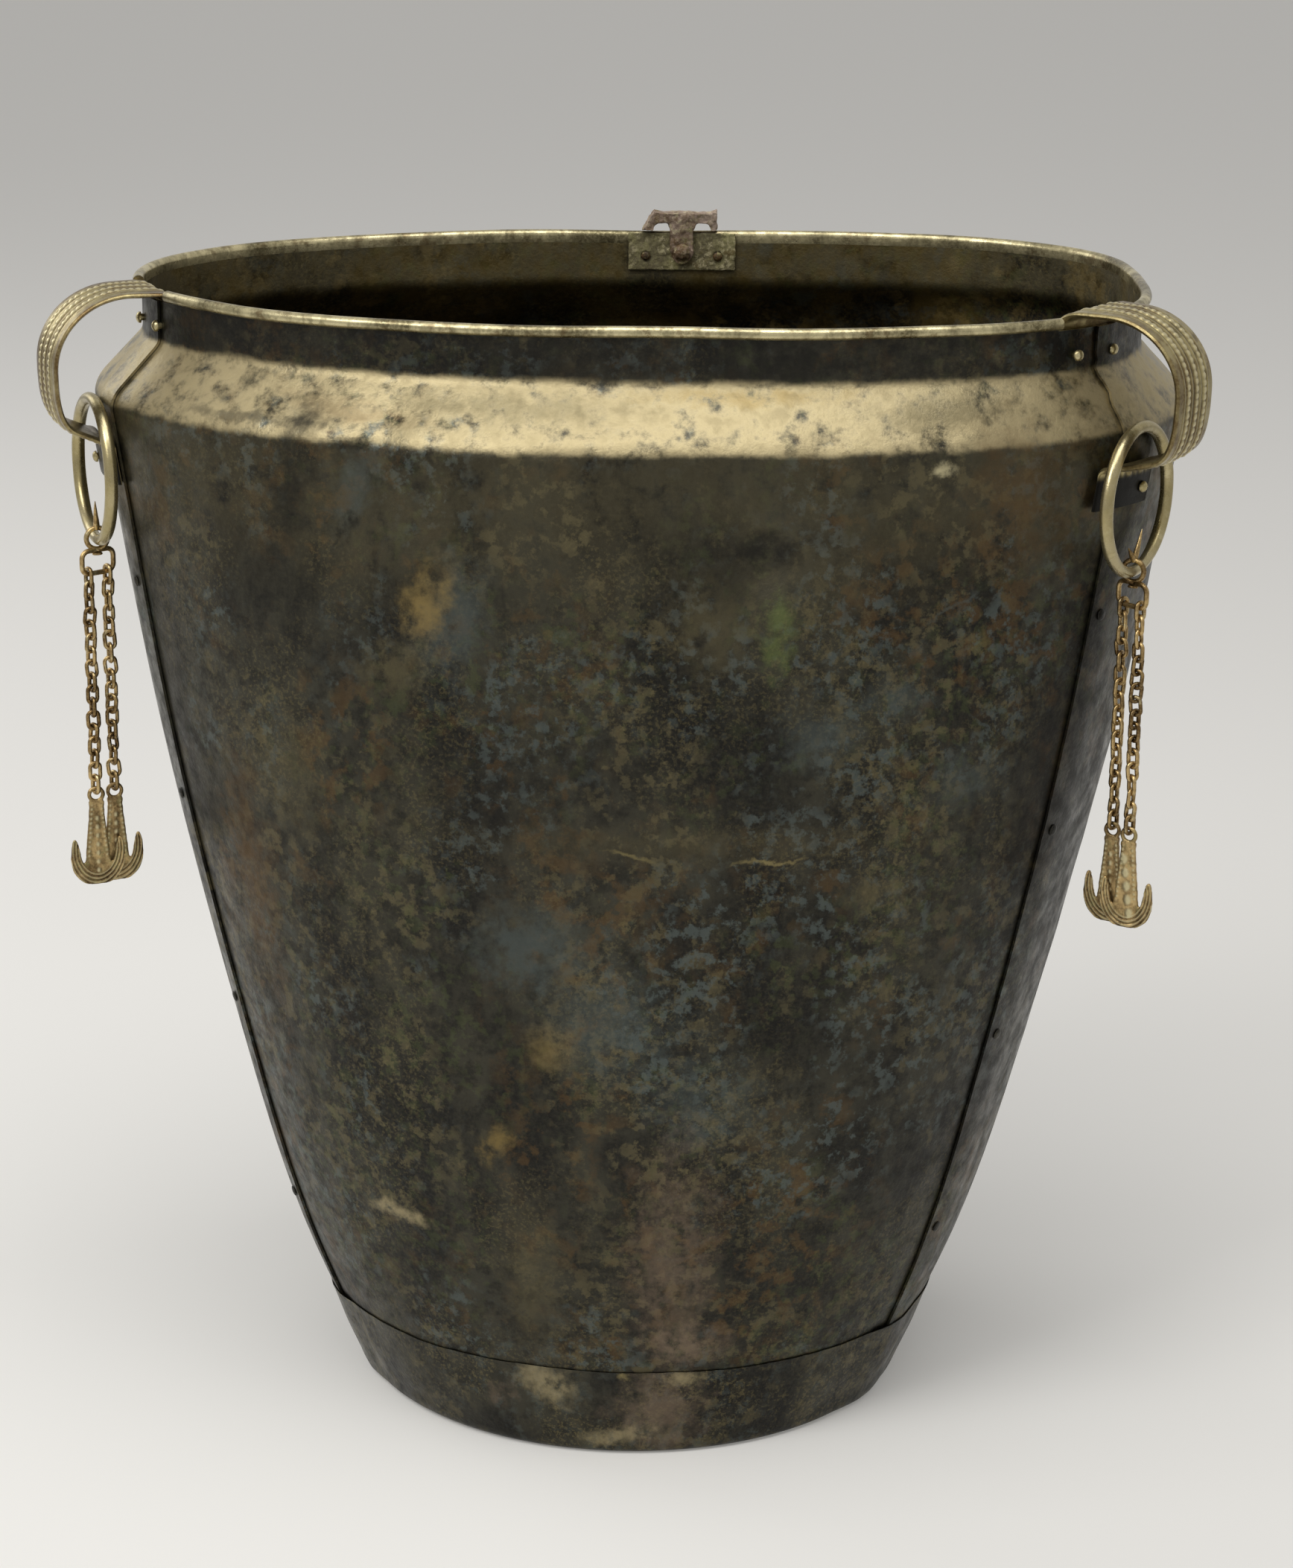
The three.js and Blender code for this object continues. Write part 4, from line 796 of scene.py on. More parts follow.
# The lap's torn edge: where tears start above the shoulder and how soon they are whole, in millimetres,
# how deep they are between their lumps, and how far they move the columns beside them, in degrees
TEAR_START, TEAR_FADE, TEAR_DEPTH, TEAR_REACH = 8, 6, 1.1, 5
RAGGED = 0.12


def sheet_rows(wall):
    """Heights of the rows of a body sheet, closer together round the softened corners."""
    v = wall.vessel
    edge_low, edge_high = wall.shoulder - v.shoulder_corner, wall.shoulder + v.shoulder_corner
    foot_low, foot_high = wall.neck - v.neck_corner, wall.neck + v.neck_corner
    spans = ((v.pan_thickness + v.gap, edge_low - 1), (edge_low, edge_high),
             (edge_high + 1.5, foot_low - 1), (foot_low, foot_high), (foot_high + 1.5, wall.neck_top))
    return np.concatenate([np.linspace(*span, rows) for span, rows in zip(spans, SHEET_ROWS)])


def rim_wave(wall, place):
    """The rim's slight rise and fall round the mouth, in millimetres."""
    return lumps(wall.face(place, wall.neck), RIM_LUMPS) * wall.calm(place)


def lift_rim(wall, points, place):
    """Moves the neck and rim up or down with the rim's wave."""
    share = smooth((points[..., 2] - wall.neck) / (wall.neck_top - wall.neck))
    points[..., 2] += share * rim_wave(wall, place)
    return points


def roll_arcs(wall, place, offset, angles):
    """The rolled rim over one column: the round inside face, then the round outside face back again."""
    foot = wall.point(place, wall.neck_top, offset)
    out = wall.flat_normal(place, wall.neck_top + 1)
    arcs = []
    for radius, turned in ((wall.roll_inner, angles), (wall.roll_outer, angles[::-1])):
        distance = wall.roll_inner + radius * np.cos(turned)
        arc = foot[:, None] + out[:, None] * distance[None, :, None]
        arc[..., 2] = wall.roll_height + radius * np.sin(turned)
        arcs.append(arc)
    return np.concatenate(arcs, 1)


def torn_edge(wall, places, heights):
    """Moves the lap's edge back and forth on the neck, where the sheet is torn; under it, it is ragged."""
    points = np.stack([np.zeros_like(heights), np.zeros_like(heights), heights], -1)
    torn = smooth((heights - wall.shoulder - TEAR_START) / TEAR_FADE)
    tear = torn * (TEAR_DEPTH + lumps(points, TEAR_LUMPS))
    ragged = lumps(points, RAGGED_LUMPS) + RAGGED
    near = smooth(1 - (places - places[0]) / TEAR_REACH)
    return places[:, None] + near[:, None] * (np.maximum(tear, 0) + ragged)[None, :]


def body_sheet(wall, places, roll_from, roll_to, is_back):
    """One sheet with its lap and its part of the rolled rim; returns the solid and its faces' kinds."""
    # Degrees between the two columns at each end of the roll, and free of other columns beside them
    nudge, free = 0.002, 0.3
    roll_ends = np.array([roll_from, roll_from + nudge, roll_to - nudge, roll_to])
    away = (abs(places - roll_from) > free) & (abs(places - roll_to) > free)
    places = np.sort(np.concatenate([places[away], roll_ends]))
    heights = sheet_rows(wall)
    offset = wall.lap_offset(places) if is_back else np.zeros(len(places))
    grid = np.repeat(places[:, None], len(heights), 1)
    if is_back:
        grid = torn_edge(wall, places, heights)
    outer = wall.point(grid, heights[None], offset[:, None])
    inner = wall.point(grid, heights[None], offset[:, None] - wall.vessel.sheet_thickness)[:, ::-1]
    arcs = roll_arcs(wall, places, offset, np.radians(np.linspace(*ROLL_TURN, ROLL_POINTS)))
    share = np.linspace(0, 1, arcs.shape[1])[None, :, None]
    flat = lerp(outer[:, -1:], inner[:, :1], share)
    rolled = (places > roll_from) & (places < roll_to)
    top = np.where(rolled[:, None, None], arcs, flat)
    sections = lift_rim(wall, np.concatenate([outer, top, inner], 1), places[:, None])
    points, faces = loft(sections, ends="strip")
    # 0 is the outside, 1 the inside and 2 the rim; the strips at both ends are outside
    kind = [0] * len(heights) + [2] * top.shape[1] + [1] * len(heights)
    kinds = kind * (len(sections) - 1)
    return (points, faces), kinds + [0] * (len(faces) - len(kinds))


def roll_limits(wall):
    """Where the rolled rim stops beside the straps: front from and to, back from and to."""
    half = in_mm("situla_handles").rim_width / 2 + wall.vessel.gap
    rim = wall.vessel.rim_height
    left, right = HANDLE_PLACE["left"], HANDLE_PLACE["right"]
    front_from = max(wall.beside(left, half, rim), wall.beside(LEFT_SEAM, 2 * wall.vessel.gap, rim))
    return (front_from, wall.beside(right, -half, rim), wall.beside(right, half, rim),
            wall.beside(left, -half, rim) + 360)


def rim_core(wall, roll_from, roll_to, is_back):
    """The wire inside one part of the rolled rim."""
    places = np.linspace(roll_from, roll_to, CORE_COLUMNS)
    offset = wall.lap_offset(places) if is_back else np.zeros(len(places))
    out = wall.flat_normal(places, wall.neck_top + 1)
    path = wall.point(places, wall.neck_top, offset) + out * wall.roll_inner
    path[:, 2] = wall.roll_height
    path = lift_rim(wall, path, places)
    return tube(path, wall.vessel.core_radius, (0, 0, 1), sides=10)


def base_pan(wall):
    """The pan: flat floor, round foot, a wall that thins towards its uneven upper edge."""
    v = wall.vessel
    places = wall.columns(-180, 180, PAN_COLUMNS, ())[:-1]
    lap = wall.lap_offset(places)
    outer = v.gap + v.pan_thickness
    edge = v.pan_height - 0.9 - lumps(wall.face(places, v.pan_height), PAN_EDGE_LUMPS)

    def floor_ring(height, inset):
        ring = wall.face(places, height) + wall.flat_normal(places, height) * (lap - inset)[:, None]
        ring[:, 2] = height
        return ring

    rings = [floor_ring(0, v.pan_foot_radius + 2 - outer)]
    for turn in np.radians(np.linspace(0, 75, 5)):
        inset = v.pan_foot_radius * (1 - math.sin(turn)) - outer
        rings.append(floor_ring(v.pan_foot_radius * (1 - math.cos(turn)), inset))
    for share in np.linspace(0.06, 1, 12):
        height = lerp(v.pan_foot_radius, edge, share)
        # Three quarters of the thickness are worn away over the upper half
        thin = outer - 0.75 * v.pan_thickness * smooth((share - 0.45) / 0.55)
        rings.append(wall.point(places, height, lap + thin))
    top = rings[-1].copy()
    top[:, 2] += 0.12
    rings.append(lerp(top, wall.point(places, edge, lap + v.gap), 0.5))
    for share in np.linspace(1, 0, 9):
        rings.append(wall.point(places, lerp(v.pan_thickness + 0.4, edge, share), lap + v.gap))
    rings.append(floor_ring(v.pan_thickness, 0.5 - v.gap))
    return loft(rings)


def rivet_solid(stack, head_height, seed):
    """A hammered rivet: domed head above zero, shank, and a small tail under the stack."""
    h = in_mm("situla_handles")
    tail_radius, tail_height = h.head_radius * 0.8, 0.8
    # The domes' tops keep a tiny radius, so that their faces stay four-sided
    tip = 0.001
    turns = np.linspace(0, math.pi / 2, 8)
    head = [(h.head_radius * math.sin(t) + tip, head_height * math.cos(t)) for t in turns]
    neck = [(h.head_radius * 0.97, -0.05), (h.shank_radius, -0.06), (h.shank_radius, -stack)]
    tail = [(tail_radius * math.cos(t) + tip, -stack - tail_height * math.sin(t)) for t in turns]
    points, faces = lathe([*head, *neck, *tail])
    dome = (points[:, 2] > 0)[:, None]
    beaten = 1 + 0.05 * rough(points + seed * 7.3, 1.6, 0.5)[:, None] * dome
    return points * beaten, faces


def rivet_matrix(wall, place, height, offset):
    """The frame of a rivet that stands out from the wall."""
    turn = Vector(wall.normal(place, height)).to_track_quat("Z", "Y")
    return Matrix.Translation(Vector(wall.point(place, height, offset))) @ turn.to_matrix().to_4x4()


# Strap handles

# Points along each bend of a strap, along its free run, and along its plates in the neck and on the wall
BEND_POINTS, RUN_POINTS, UPPER_ROWS, LOWER_ROWS, STRAP_COLUMNS = 40, 190, 22, 20, 63
# Relief across a strap, in shares of its half width: middles and width of beads, ridges and grooves
BEAD_ROWS, BEAD_WIDTH = (-0.46, 0, 0.46), 0.085
RIDGES, RIDGE_WIDTH, RIDGE_HEIGHT = (-0.66, -0.24, 0.24, 0.66), 0.03, 0.3
GROOVES, GROOVE_WIDTH, GROOVE_DEPTH = (-0.58, -0.34, -0.12, 0.12, 0.34, 0.58), 0.035, 0.16
STRAP_CROWN = 0.25
# Where a strap's rounded edge starts, and the square of how far it goes on, in the same shares
STRAP_EDGE, EDGE_ROUND = 0.93, 0.0053


class Handle:
    """One strap handle, in its own upright plane: distance out from the rim, and height"""

    def __init__(self, wall, side):
        h = self.sizes = in_mm("situla_handles")
        v = wall.vessel
        self.wall = wall
        self.place = HANDLE_PLACE[side]
        self.foot_place = self.place + FOOT_SHIFT[side]
        self.top = v.rim_height + STRAP_RISE[side] + h.thickness / 2
        self.bar = v.rim_height - BAR_DROP[side]
        normal = wall.flat_normal(self.place, v.rim_height)
        turn = math.atan2(normal[1], normal[0]) + math.radians(HANDLE_TWIST[side])
        self.out = np.array([math.cos(turn), math.sin(turn), 0])
        self.along = np.array([-self.out[1], self.out[0], 0])
        self.origin = wall.face(self.place, v.rim_height) * (1, 1, 0)
        low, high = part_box(f"{side}_ring")
        self.ring_centre = np.array((low + high) / 2) / MM
        self.reach = float((self.ring_centre - self.origin) @ self.out) + PAST_RING[side]
        self.plate_top = self.bar - h.bar_slope - 3
        self.inside = -v.sheet_thickness - v.gap - h.thickness / 2
        self.outside = wall.lap_step + v.gap + h.thickness / 2
        self.front = -math.copysign(1, self.along[1])

    def run(self):
        """The free run over the rim, round the bend and back to the wall, in even steps."""
        h, top, bar, reach = self.sizes, self.top, self.bar, self.reach
        neck = self.wall.neck_top
        start, end = [float((middle - self.origin) @ self.out) for middle in self.plate_middles()]
        t = np.linspace(0, 1, BEND_POINTS)[:, None]

        def bend(*points):
            points = [np.array(p, float) for p in points]
            while len(points) > 1:
                points = [lerp(a, b, t) for a, b in zip(points, points[1:])]
            return points[0]

        turn = np.radians(np.linspace(90, 0, BEND_POINTS))
        arc = np.stack([reach - h.arc_run + h.arc_run * np.cos(turn),
                        top - h.arc_drop + h.arc_drop * np.sin(turn)], -1)
        foot = bar - h.bar_slope
        # Up out of the neck, out over the rim, round the bend, back under it, in to the wall and down to it
        path = np.concatenate([
            bend((start, neck), (start, top), (start + 5, top)),
            bend((start + 5, top), (reach - h.arc_run, top)),
            arc,
            bend(arc[-1], (reach, bar + 8), (reach - 2, bar + 2), (reach - 8, bar)),
            bend((reach - 8, bar), (end + 3, foot)),
            bend((end + 3, foot), (end, foot), (end, self.plate_top)),
        ])
        steps = np.linalg.norm(np.diff(path, axis=0), axis=1)
        run = np.concatenate([[0], np.cumsum(steps)])
        kept = np.concatenate([[True], steps > 1e-6])
        even = np.linspace(0, run[-1], RUN_POINTS)
        return np.stack([np.interp(even, run[kept], path[kept, i]) for i in (0, 1)], -1), even

    def plate_middles(self):
        """The middle of the strap where its free run leaves the neck and where it reaches the wall."""
        return (self.wall.point(self.place, self.wall.neck_top, self.inside),
                self.wall.point(self.foot_place, self.plate_top, self.outside))

    def middle_surface(self, across):
        """Points of the strap's middle surface, row by row along it, at shares of its half width."""
        h, wall = self.sizes, self.wall
        path, run = self.run()

        def plate(place, offset, half, *heights):
            heights = np.linspace(*heights)[:, None]
            return wall.point(wall.beside(place, across[None] * half, heights), heights, offset)

        neck, foot, apart = wall.neck_top, self.plate_top, 0.6
        inner = (self.place, self.inside, h.rim_width / 2)
        outer = (self.foot_place, self.outside, h.width / 2)
        upper = plate(*inner, neck - h.inner_plate, neck - apart, UPPER_ROWS)
        lower = plate(*outer, foot - apart, foot - h.outer_plate, LOWER_ROWS)
        ends = [plate(*inner, neck, neck, 1)[0], plate(*outer, foot, foot, 1)[0]]
        middles = self.plate_middles()
        shifts = [float((middle - self.origin) @ self.along) for middle in middles]
        free = []
        for (distance, height), at in zip(path, run):
            is_upper = at < run[-1] / 2
            index = 0 if is_upper else 1
            hug = 1 - smooth(min(at, run[-1] - at) / h.blend)
            half = lerp(h.width, h.rim_width if is_upper else h.width, hug) / 2
            straight = self.along[None] * (across * half)[:, None]
            held = ends[index] - middles[index]
            shift = lerp(shifts[0], shifts[1], smooth(at / run[-1]))
            middle = self.origin + self.out * distance + self.along * shift
            middle[2] = height
            free.append(middle + lerp(straight, held, hug))
        return np.concatenate([upper, np.array(free), lower])

    def strap(self):
        """The strap with rounded edges, three rows of beads and two smooth ridges; returns relief too,
        which also paints shade on its plates.
        """
        h = self.sizes
        across = np.linspace(-1, 1, STRAP_COLUMNS)
        middle = self.middle_surface(across)
        run_step = np.gradient(middle, axis=0)
        side_step = np.gradient(middle, axis=1)
        face = unit(np.cross(run_step, side_step))
        centre = middle[:, len(across) // 2]
        run = np.concatenate([[0], np.cumsum(np.linalg.norm(np.diff(centre, axis=0), axis=1))])[:, None]
        beads = np.zeros((len(run), len(across)))
        for row, place in enumerate(BEAD_ROWS):
            u = (across[None] - place) / BEAD_WIDTH
            bead = 0.25 + 0.75 * abs(np.cos(math.pi * (run / h.bead_pitch + row * 0.37)))
            beads = np.maximum(beads, np.exp(-u ** 4) * bead)
        ridges = sum(np.exp(-((across[None] - p) / RIDGE_WIDTH) ** 2) for p in RIDGES)
        grooves = sum(np.exp(-((across[None] - p) / GROOVE_WIDTH) ** 2) for p in GROOVES)
        # The plates under the rivets stay plain
        ends = smooth((run - 10) / 5) * smooth((run[-1] - 9 - run) / 5)
        relief = (beads * h.rib_height + RIDGE_HEIGHT * ridges - GROOVE_DEPTH * grooves) * ends
        crown = STRAP_CROWN * (1 - across[None] ** 2)
        past_edge = np.maximum(abs(across[None]) - STRAP_EDGE, 0)
        thick = h.thickness / 2 * np.sqrt(np.clip(1 - past_edge ** 2 / EDGE_ROUND, 0.04, 1))
        top = middle + face * (thick + relief + crown - STRAP_CROWN)[..., None]
        low_across = slice(None, None, -4)
        under = (middle - face * (thick * 0.98)[..., None])[:, low_across]
        sections = np.concatenate([top, under], 1)
        # The tint is pale on raised beads and dark in the grooves, and falls to the hollow colour on the
        # plates at both ends, which is painted shade
        wear_and_plate_shade = np.clip(0.38 + relief / h.rib_height * 0.7, 0, 1) * lerp(0.1, 1, ends)
        tint = np.concatenate([wear_and_plate_shade, np.full(under.shape[:2], 0.35)], 1)
        return loft(sections), tint.reshape(-1)

    def frame_at(self, x, y, height):
        """A frame for a hanging piece: X out from the vessel, Y along the rim, Z up."""
        turn = Matrix.Rotation(math.atan2(self.out[1], self.out[0]), 4, "Z")
        return Matrix.Translation((x, y, height)) @ turn

    def frame_on_ring(self, height):
        return self.frame_at(self.ring_centre[0], self.ring_centre[1], height)

    def frame_in(self, node, drop=0):
        """A frame over the middle of a CAD node, a drop under its top."""
        low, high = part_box(node)
        middle = (low + high) / 2 / MM
        return self.frame_at(middle.x, middle.y, high.z / MM - drop)

    def rivet_sites(self):
        """Places and heights of the upper and lower pairs of rivets."""
        h = self.sizes
        upper, lower = self.wall.neck_top - h.rivet_inset, self.plate_top - h.outer_plate / 2
        halves = (-h.rivet_spacing / 2, h.rivet_spacing / 2)
        return {
            "upper": [(self.wall.beside(self.place, half, upper), upper) for half in halves],
            "lower": [(self.wall.beside(self.foot_place, half, lower), lower) for half in halves],
        }


# Hanging pieces

# Millimetres from a pendant's top down to the middle of its eye
EYE_DROP = 3.2


def oblong(half_width, half_length, corner, steps=6):
    """Points of a flat loop with straight sides and round corners, as across and height."""
    points = []
    for quarter, (sx, sy) in enumerate(((1, 1), (-1, 1), (-1, -1), (1, -1))):
        for k in range(steps + 1):
            turn = math.radians(90 * quarter + 90 * k / steps)
            points.append((sx * (half_width - corner) + corner * math.cos(turn),
                           sy * (half_length - corner) + corner * math.sin(turn)))
    return np.array(points)


def circle(radius, squash=1):
    """Points of a flat circle as across and height; squash flattens it."""
    angle = np.linspace(0, 2 * math.pi, 40, endpoint=False)
    return np.stack([np.cos(angle), np.sin(angle) * squash], -1) * radius


def wire_loop(points, radius, sides=10):
    """A closed wire in the upright plane through X and Z."""
    path = np.stack([points[:, 0], np.zeros(len(points)), points[:, 1]], -1)
    return tube(path, radius, (0, 1, 0), sides, is_loop=True)


def ring_solid():
    """A cast ring, a little thinner where it has rubbed on the strap and the yoke."""
    g = in_mm("situla_hanging")
    steps = 120
    turn = np.linspace(0, 2 * math.pi, steps, endpoint=False)
    path = np.stack([np.zeros(steps), np.cos(turn), np.sin(turn)], -1) * g.ring_radius
    foot, top = math.pi * 1.5, math.pi / 2
    worn = 0.16 * smooth(1 - abs(turn - foot) / 0.9) + 0.1 * smooth(1 - abs(turn - top) / 0.8)
    radii = g.ring_bar * (1 - worn) * (1 - 0.03 * (1 + rough(path, 9, 3.3)))
    return tube(path, radii, (1, 0, 0), 20, is_loop=True)


def yoke_solid(turn):
    """A bent wire: an eye round the ring's foot, a wide loop under it, and two thorn-like ends."""
    g = in_mm("situla_hanging")
    eye_radius = g.ring_bar + g.yoke_wire + 0.5
    eye = wire_loop(circle(eye_radius), g.yoke_wire)
    loop_height = -eye_radius - g.loop_half_height - g.yoke_wire * 0.4
    loop = wire_loop(oblong(g.loop_half_width, g.loop_half_height, 2.6), g.yoke_wire)
    loop = placed(loop, Matrix.Translation((0, 0, loop_height)) @ Matrix.Rotation(turn, 4, "Z"))
    solids = [eye, loop]
    # The wire's two ends stand up from the eye, thin out to their tips and lean apart
    for tail, lean in ((10, 3.2), (4.5, -3)):
        t = np.linspace(0, 1, 14)[:, None]
        foot = np.array((0, 0, eye_radius - 0.2))
        bend = np.array((lean * 0.2, lean * 0.5, eye_radius + tail * 0.5))
        tip = np.array((lean * 0.3, lean, eye_radius + tail))
        path = lerp(lerp(foot, bend, t), lerp(bend, tip, t), t)
        solids.append(tube(path, g.yoke_wire * (1.25 - 1.08 * t[:, 0] ** 1.5), (1, 0, 0), 10))
    # Two turns of thinner wire bind the loop to the eye
    for height in (-eye_radius - 0.2, -eye_radius - 1.7):
        wrap = wire_loop(circle(1.35, 0.45), 0.5, 8)
        upright = Matrix.Translation((0, 0, height)) @ Matrix.Rotation(math.pi / 2, 4, "X")
        solids.append(placed(wrap, upright))
    return joined(solids)


def chain_solid(count, drop, first_turn, seed):
    """A run of bent wire links, hung from its top, each turned about a quarter from the last."""
    g = in_mm("situla_hanging")
    # Millimetres by which the end links' wire reaches past the run's two ends
    reach = 0.12
    pitch = (drop + 2 * reach - 4 * g.link_wire) / count
    half_length = pitch / 2 + g.link_wire
    draw = random.Random(seed)
    links = []
    for i in range(count):
        # The end links keep their plain form and turn, so that they stay clear of what they hang in
        loose = 0 if i in (0, count - 1) else 1
        wide = g.link_half_width * (1 + loose * draw.uniform(-0.08, 0.06))
        wire = g.link_wire * draw.uniform(0.94, 1.02)
        link = wire_loop(oblong(wide, half_length, wide * 0.94, 5), wire, 8)
        turn = first_turn + (i % 2) * math.pi / 2 + loose * math.radians(draw.uniform(-22, 22))
        lean = Matrix.Rotation(loose * math.radians(draw.uniform(-8, 8)), 4, "Y")
        place = Matrix.Translation((0, 0, reach - half_length - g.link_wire - i * pitch))
        links.append(placed(link, place @ Matrix.Rotation(turn, 4, "Z") @ lean))
    return joined(links)


def curve_through(points, steps):
    """A smooth closed curve through points."""
    points = np.asarray(points, float)
    t = np.linspace(0, 1, steps, endpoint=False)[:, None]
    curve = []
    for i in range(len(points)):
        a, b, c, d = (points[(i + k) % len(points)] for k in (-1, 0, 1, 2))
        curve.append(0.5 * (2 * b + (c - a) * t + (2 * a - 5 * b + 4 * c - d) * t ** 2
                            + (3 * b - a - 3 * c + d) * t ** 3))
    return np.concatenate(curve)


def pendant_outline():
    """Anchor outline down from under the eye, round the broad fluke and back up, as width and height."""
    g = in_mm("situla_hanging")
    w, d = g.pendant_half_width, g.pendant_drop
    shank = [(2.3, -2.2), (2.6, -5), (2.9, -9), (3.5, -15), (4.1, -20.5), (4.4, -d + 9)]
    fluke = [(0.53, 8), (0.6, 9.6), (0.68, 13.4), (0.76, 16.4), (0.87, 17), (0.97, 14), (0.99, 8.5),
             (0.85, 4), (0.52, 1), (0.2, 0.25)]
    half = shank + [(w * across, -d + up) for across, up in fluke]
    left = [(-x, y) for x, y in half[::-1]]
    return curve_through(half + left, 4)


def pendant_solid(seed, is_bold):
    """A cast anchor pendant: an open eye, beads on the shank and grooved flukes; returns relief too."""
    g = in_mm("situla_hanging")
    outline = pendant_outline()
    count = len(outline)
    slab = loft([np.stack([outline[:, 0], np.full(count, y), outline[:, 1]], -1)
                 for y in (-g.pendant_thickness / 2, g.pendant_thickness / 2)])
    eye = wire_loop(circle(2.42), 0.76)
    points, normals, faces = melted(joined([slab, eye]), 0.33, 3)
    x, y, z = points.T
    side = np.clip(y / (g.pendant_thickness * 0.4), -1, 1)
    # Two rows of small beads down the shank's edges, which spread towards the flukes
    edge = 2.45 + 0.082 * np.maximum(-z - 3, 0)
    beads = np.cos(math.pi * z / 1.7) ** 2 * np.exp(-((abs(x) - edge + 0.75) / 0.5) ** 2)
    relief = 0.75 * beads * smooth((z + 25) / 3) * smooth(-z - 3)
    # Bumps down its middle, which stand out and wander on the bold pendant
    bumps, size, height, drift = (5, 1.25, 1.2, (-1.1, 1.5)) if is_bold else (7, 0.7, 0.8, (0, 0))
    for k in range(bumps):
        down = 8.5 + k * 19 / (bumps - 1)
        across = lerp(*drift, k / (bumps - 1))
        bump = np.exp(-(((x - across) / size) ** 2 + ((z + down) / (1.3 * size)) ** 2) ** 1.5)
        relief += height * bump
    # Grooves round the flukes
    round_fluke = np.hypot(x / g.pendant_half_width, (z + g.pendant_drop - 13) / 13)
    on_fluke = smooth((round_fluke - 0.62) / 0.08) * smooth((-z - 15.5) / 2)
    relief += on_fluke * 0.55 * np.cos((round_fluke - 0.7) / 0.115 * 2 * math.pi)
    relief = np.clip(relief, -1, 1)
    crown = 0.2 * smooth((4.5 - abs(x)) / 4)
    on_plate = smooth((-z - 2.4) / 1)
    points[:, 1] += side * on_plate * (0.36 * relief + crown - 0.1)
    points += normals * 0.12 * rough(points, 2.2, seed)[:, None]
    return (points, faces), np.clip(0.45 + 0.6 * relief, 0, 1)


def corroded(name, voxel, depth, size, seed):
    """A CAD node's form eaten by corrosion: softened edges and a lumpy skin."""
    points, normals, faces = melted(node_solid(name), voxel, 2)
    skin = lumps(points, ((1, size, seed), (0.5, size * 0.4, seed + 2)))
    return points + normals * (depth * skin - depth * 0.6)[:, None], faces


def give_relief(piece, values):
    """Stores each point's relief, 0 in hollows and 1 on raised places, for the bronze to follow; the
    straps' plates are set near 0 as painted shade.
    """
    relief = piece.data.attributes.new("relief", "FLOAT", "POINT")
    relief.data.foreach_set("value", values.astype(np.float32))


# Operators

# Camera: place in metres, lens in millimetres, and turns in degrees: level, tilt down and aside
CAMERA_PLACE = (-0.0006, -1.3165, 0.624)
CAMERA_LENS = 88.26
CAMERA_LEVEL, CAMERA_TILT, CAMERA_ASIDE = 0.6, 17.2, -0.2

# Lamps: name, place and size in metres, and watts. They all look at LAMP_AIM
LAMPS = (
    ("key_lamp", (-0.9, -1.0, 1.6), 0.8, 13),
    ("top_lamp", (0.1, -0.5, 2.0), 1.3, 18),
    ("back_lamp", (-1.5, 1.0, 1.1), 1.1, 8),
)
LAMP_AIM = (0, 0, 0.25)
# How strongly the floor shines where it is seen, and the world where it lights and where it is seen
FLOOR_LIFT, FILL, BACKDROP = 0.28, 0.36, 0.85


class CameraOperator(bpy.types.Operator):
    """Sets the camera that sees the situla as the photograph does"""
    bl_idname = "situla.camera"
    bl_label = "Camera"

    def execute(self, context):
        data = bpy.data.cameras.new("camera")
        data.sensor_fit = "AUTO"
        data.sensor_width = 36
        data.lens = CAMERA_LENS
        camera = bpy.data.objects.new("camera", data)
        turn = (Matrix.Rotation(math.radians(CAMERA_ASIDE), 4, "Z")
                @ Matrix.Rotation(math.radians(90 - CAMERA_TILT), 4, "X")
                @ Matrix.Rotation(math.radians(CAMERA_LEVEL), 4, "Z"))
        camera.matrix_world = Matrix.Translation(CAMERA_PLACE) @ turn
        context.scene.collection.objects.link(camera)
        context.scene.camera = camera
        return {"FINISHED"}


class SheetsOperator(bpy.types.Operator):
    """Makes the two hammered sheets with their laps, dents and rolled rim, and the rim's core wires"""
    bl_idname = "situla.sheets"
    bl_label = "Body sheets"

    def execute(self, context):
        wall = Wall()
        materials = sheet_bronzes()
        front_from, front_to, back_from, back_to = roll_limits(wall)
        front = wall.columns(wall.left_lap_end, wall.right_lap_end, FRONT_COLUMNS, (LEFT_SEAM, RIGHT_SEAM))
        back = wall.columns(RIGHT_SEAM, LEFT_SEAM + 360, BACK_COLUMNS,
                            (wall.right_lap_end, wall.left_lap_end + 360))
        for name, places, start, end, is_back in (("front_sheet", front, front_from, front_to, False),
                                                  ("back_sheet", back, back_from, back_to, True)):
            solid, kinds = body_sheet(wall, places, start, end, is_back)
            make_piece(f"{name}_hammered", solid, materials, VESSEL, [name], 55, kinds)
        c = context.scene.situla_colours
        # Drawn bronze wire: clean satin metal, as the roll covers it and only its ends are seen
        drawn = Bronze("Drawn bronze core wire", c.cast, c.umber).finished(4, 0.03)
        for name, start, end, is_back in (
                ("front_rim", front_from, front_to, False), ("back_rim", back_from, back_to, True)):
            make_piece(f"{name}_core", rim_core(wall, start, end, is_back), drawn, VESSEL,
                       [f"{name}_wire"])
        return {"FINISHED"}


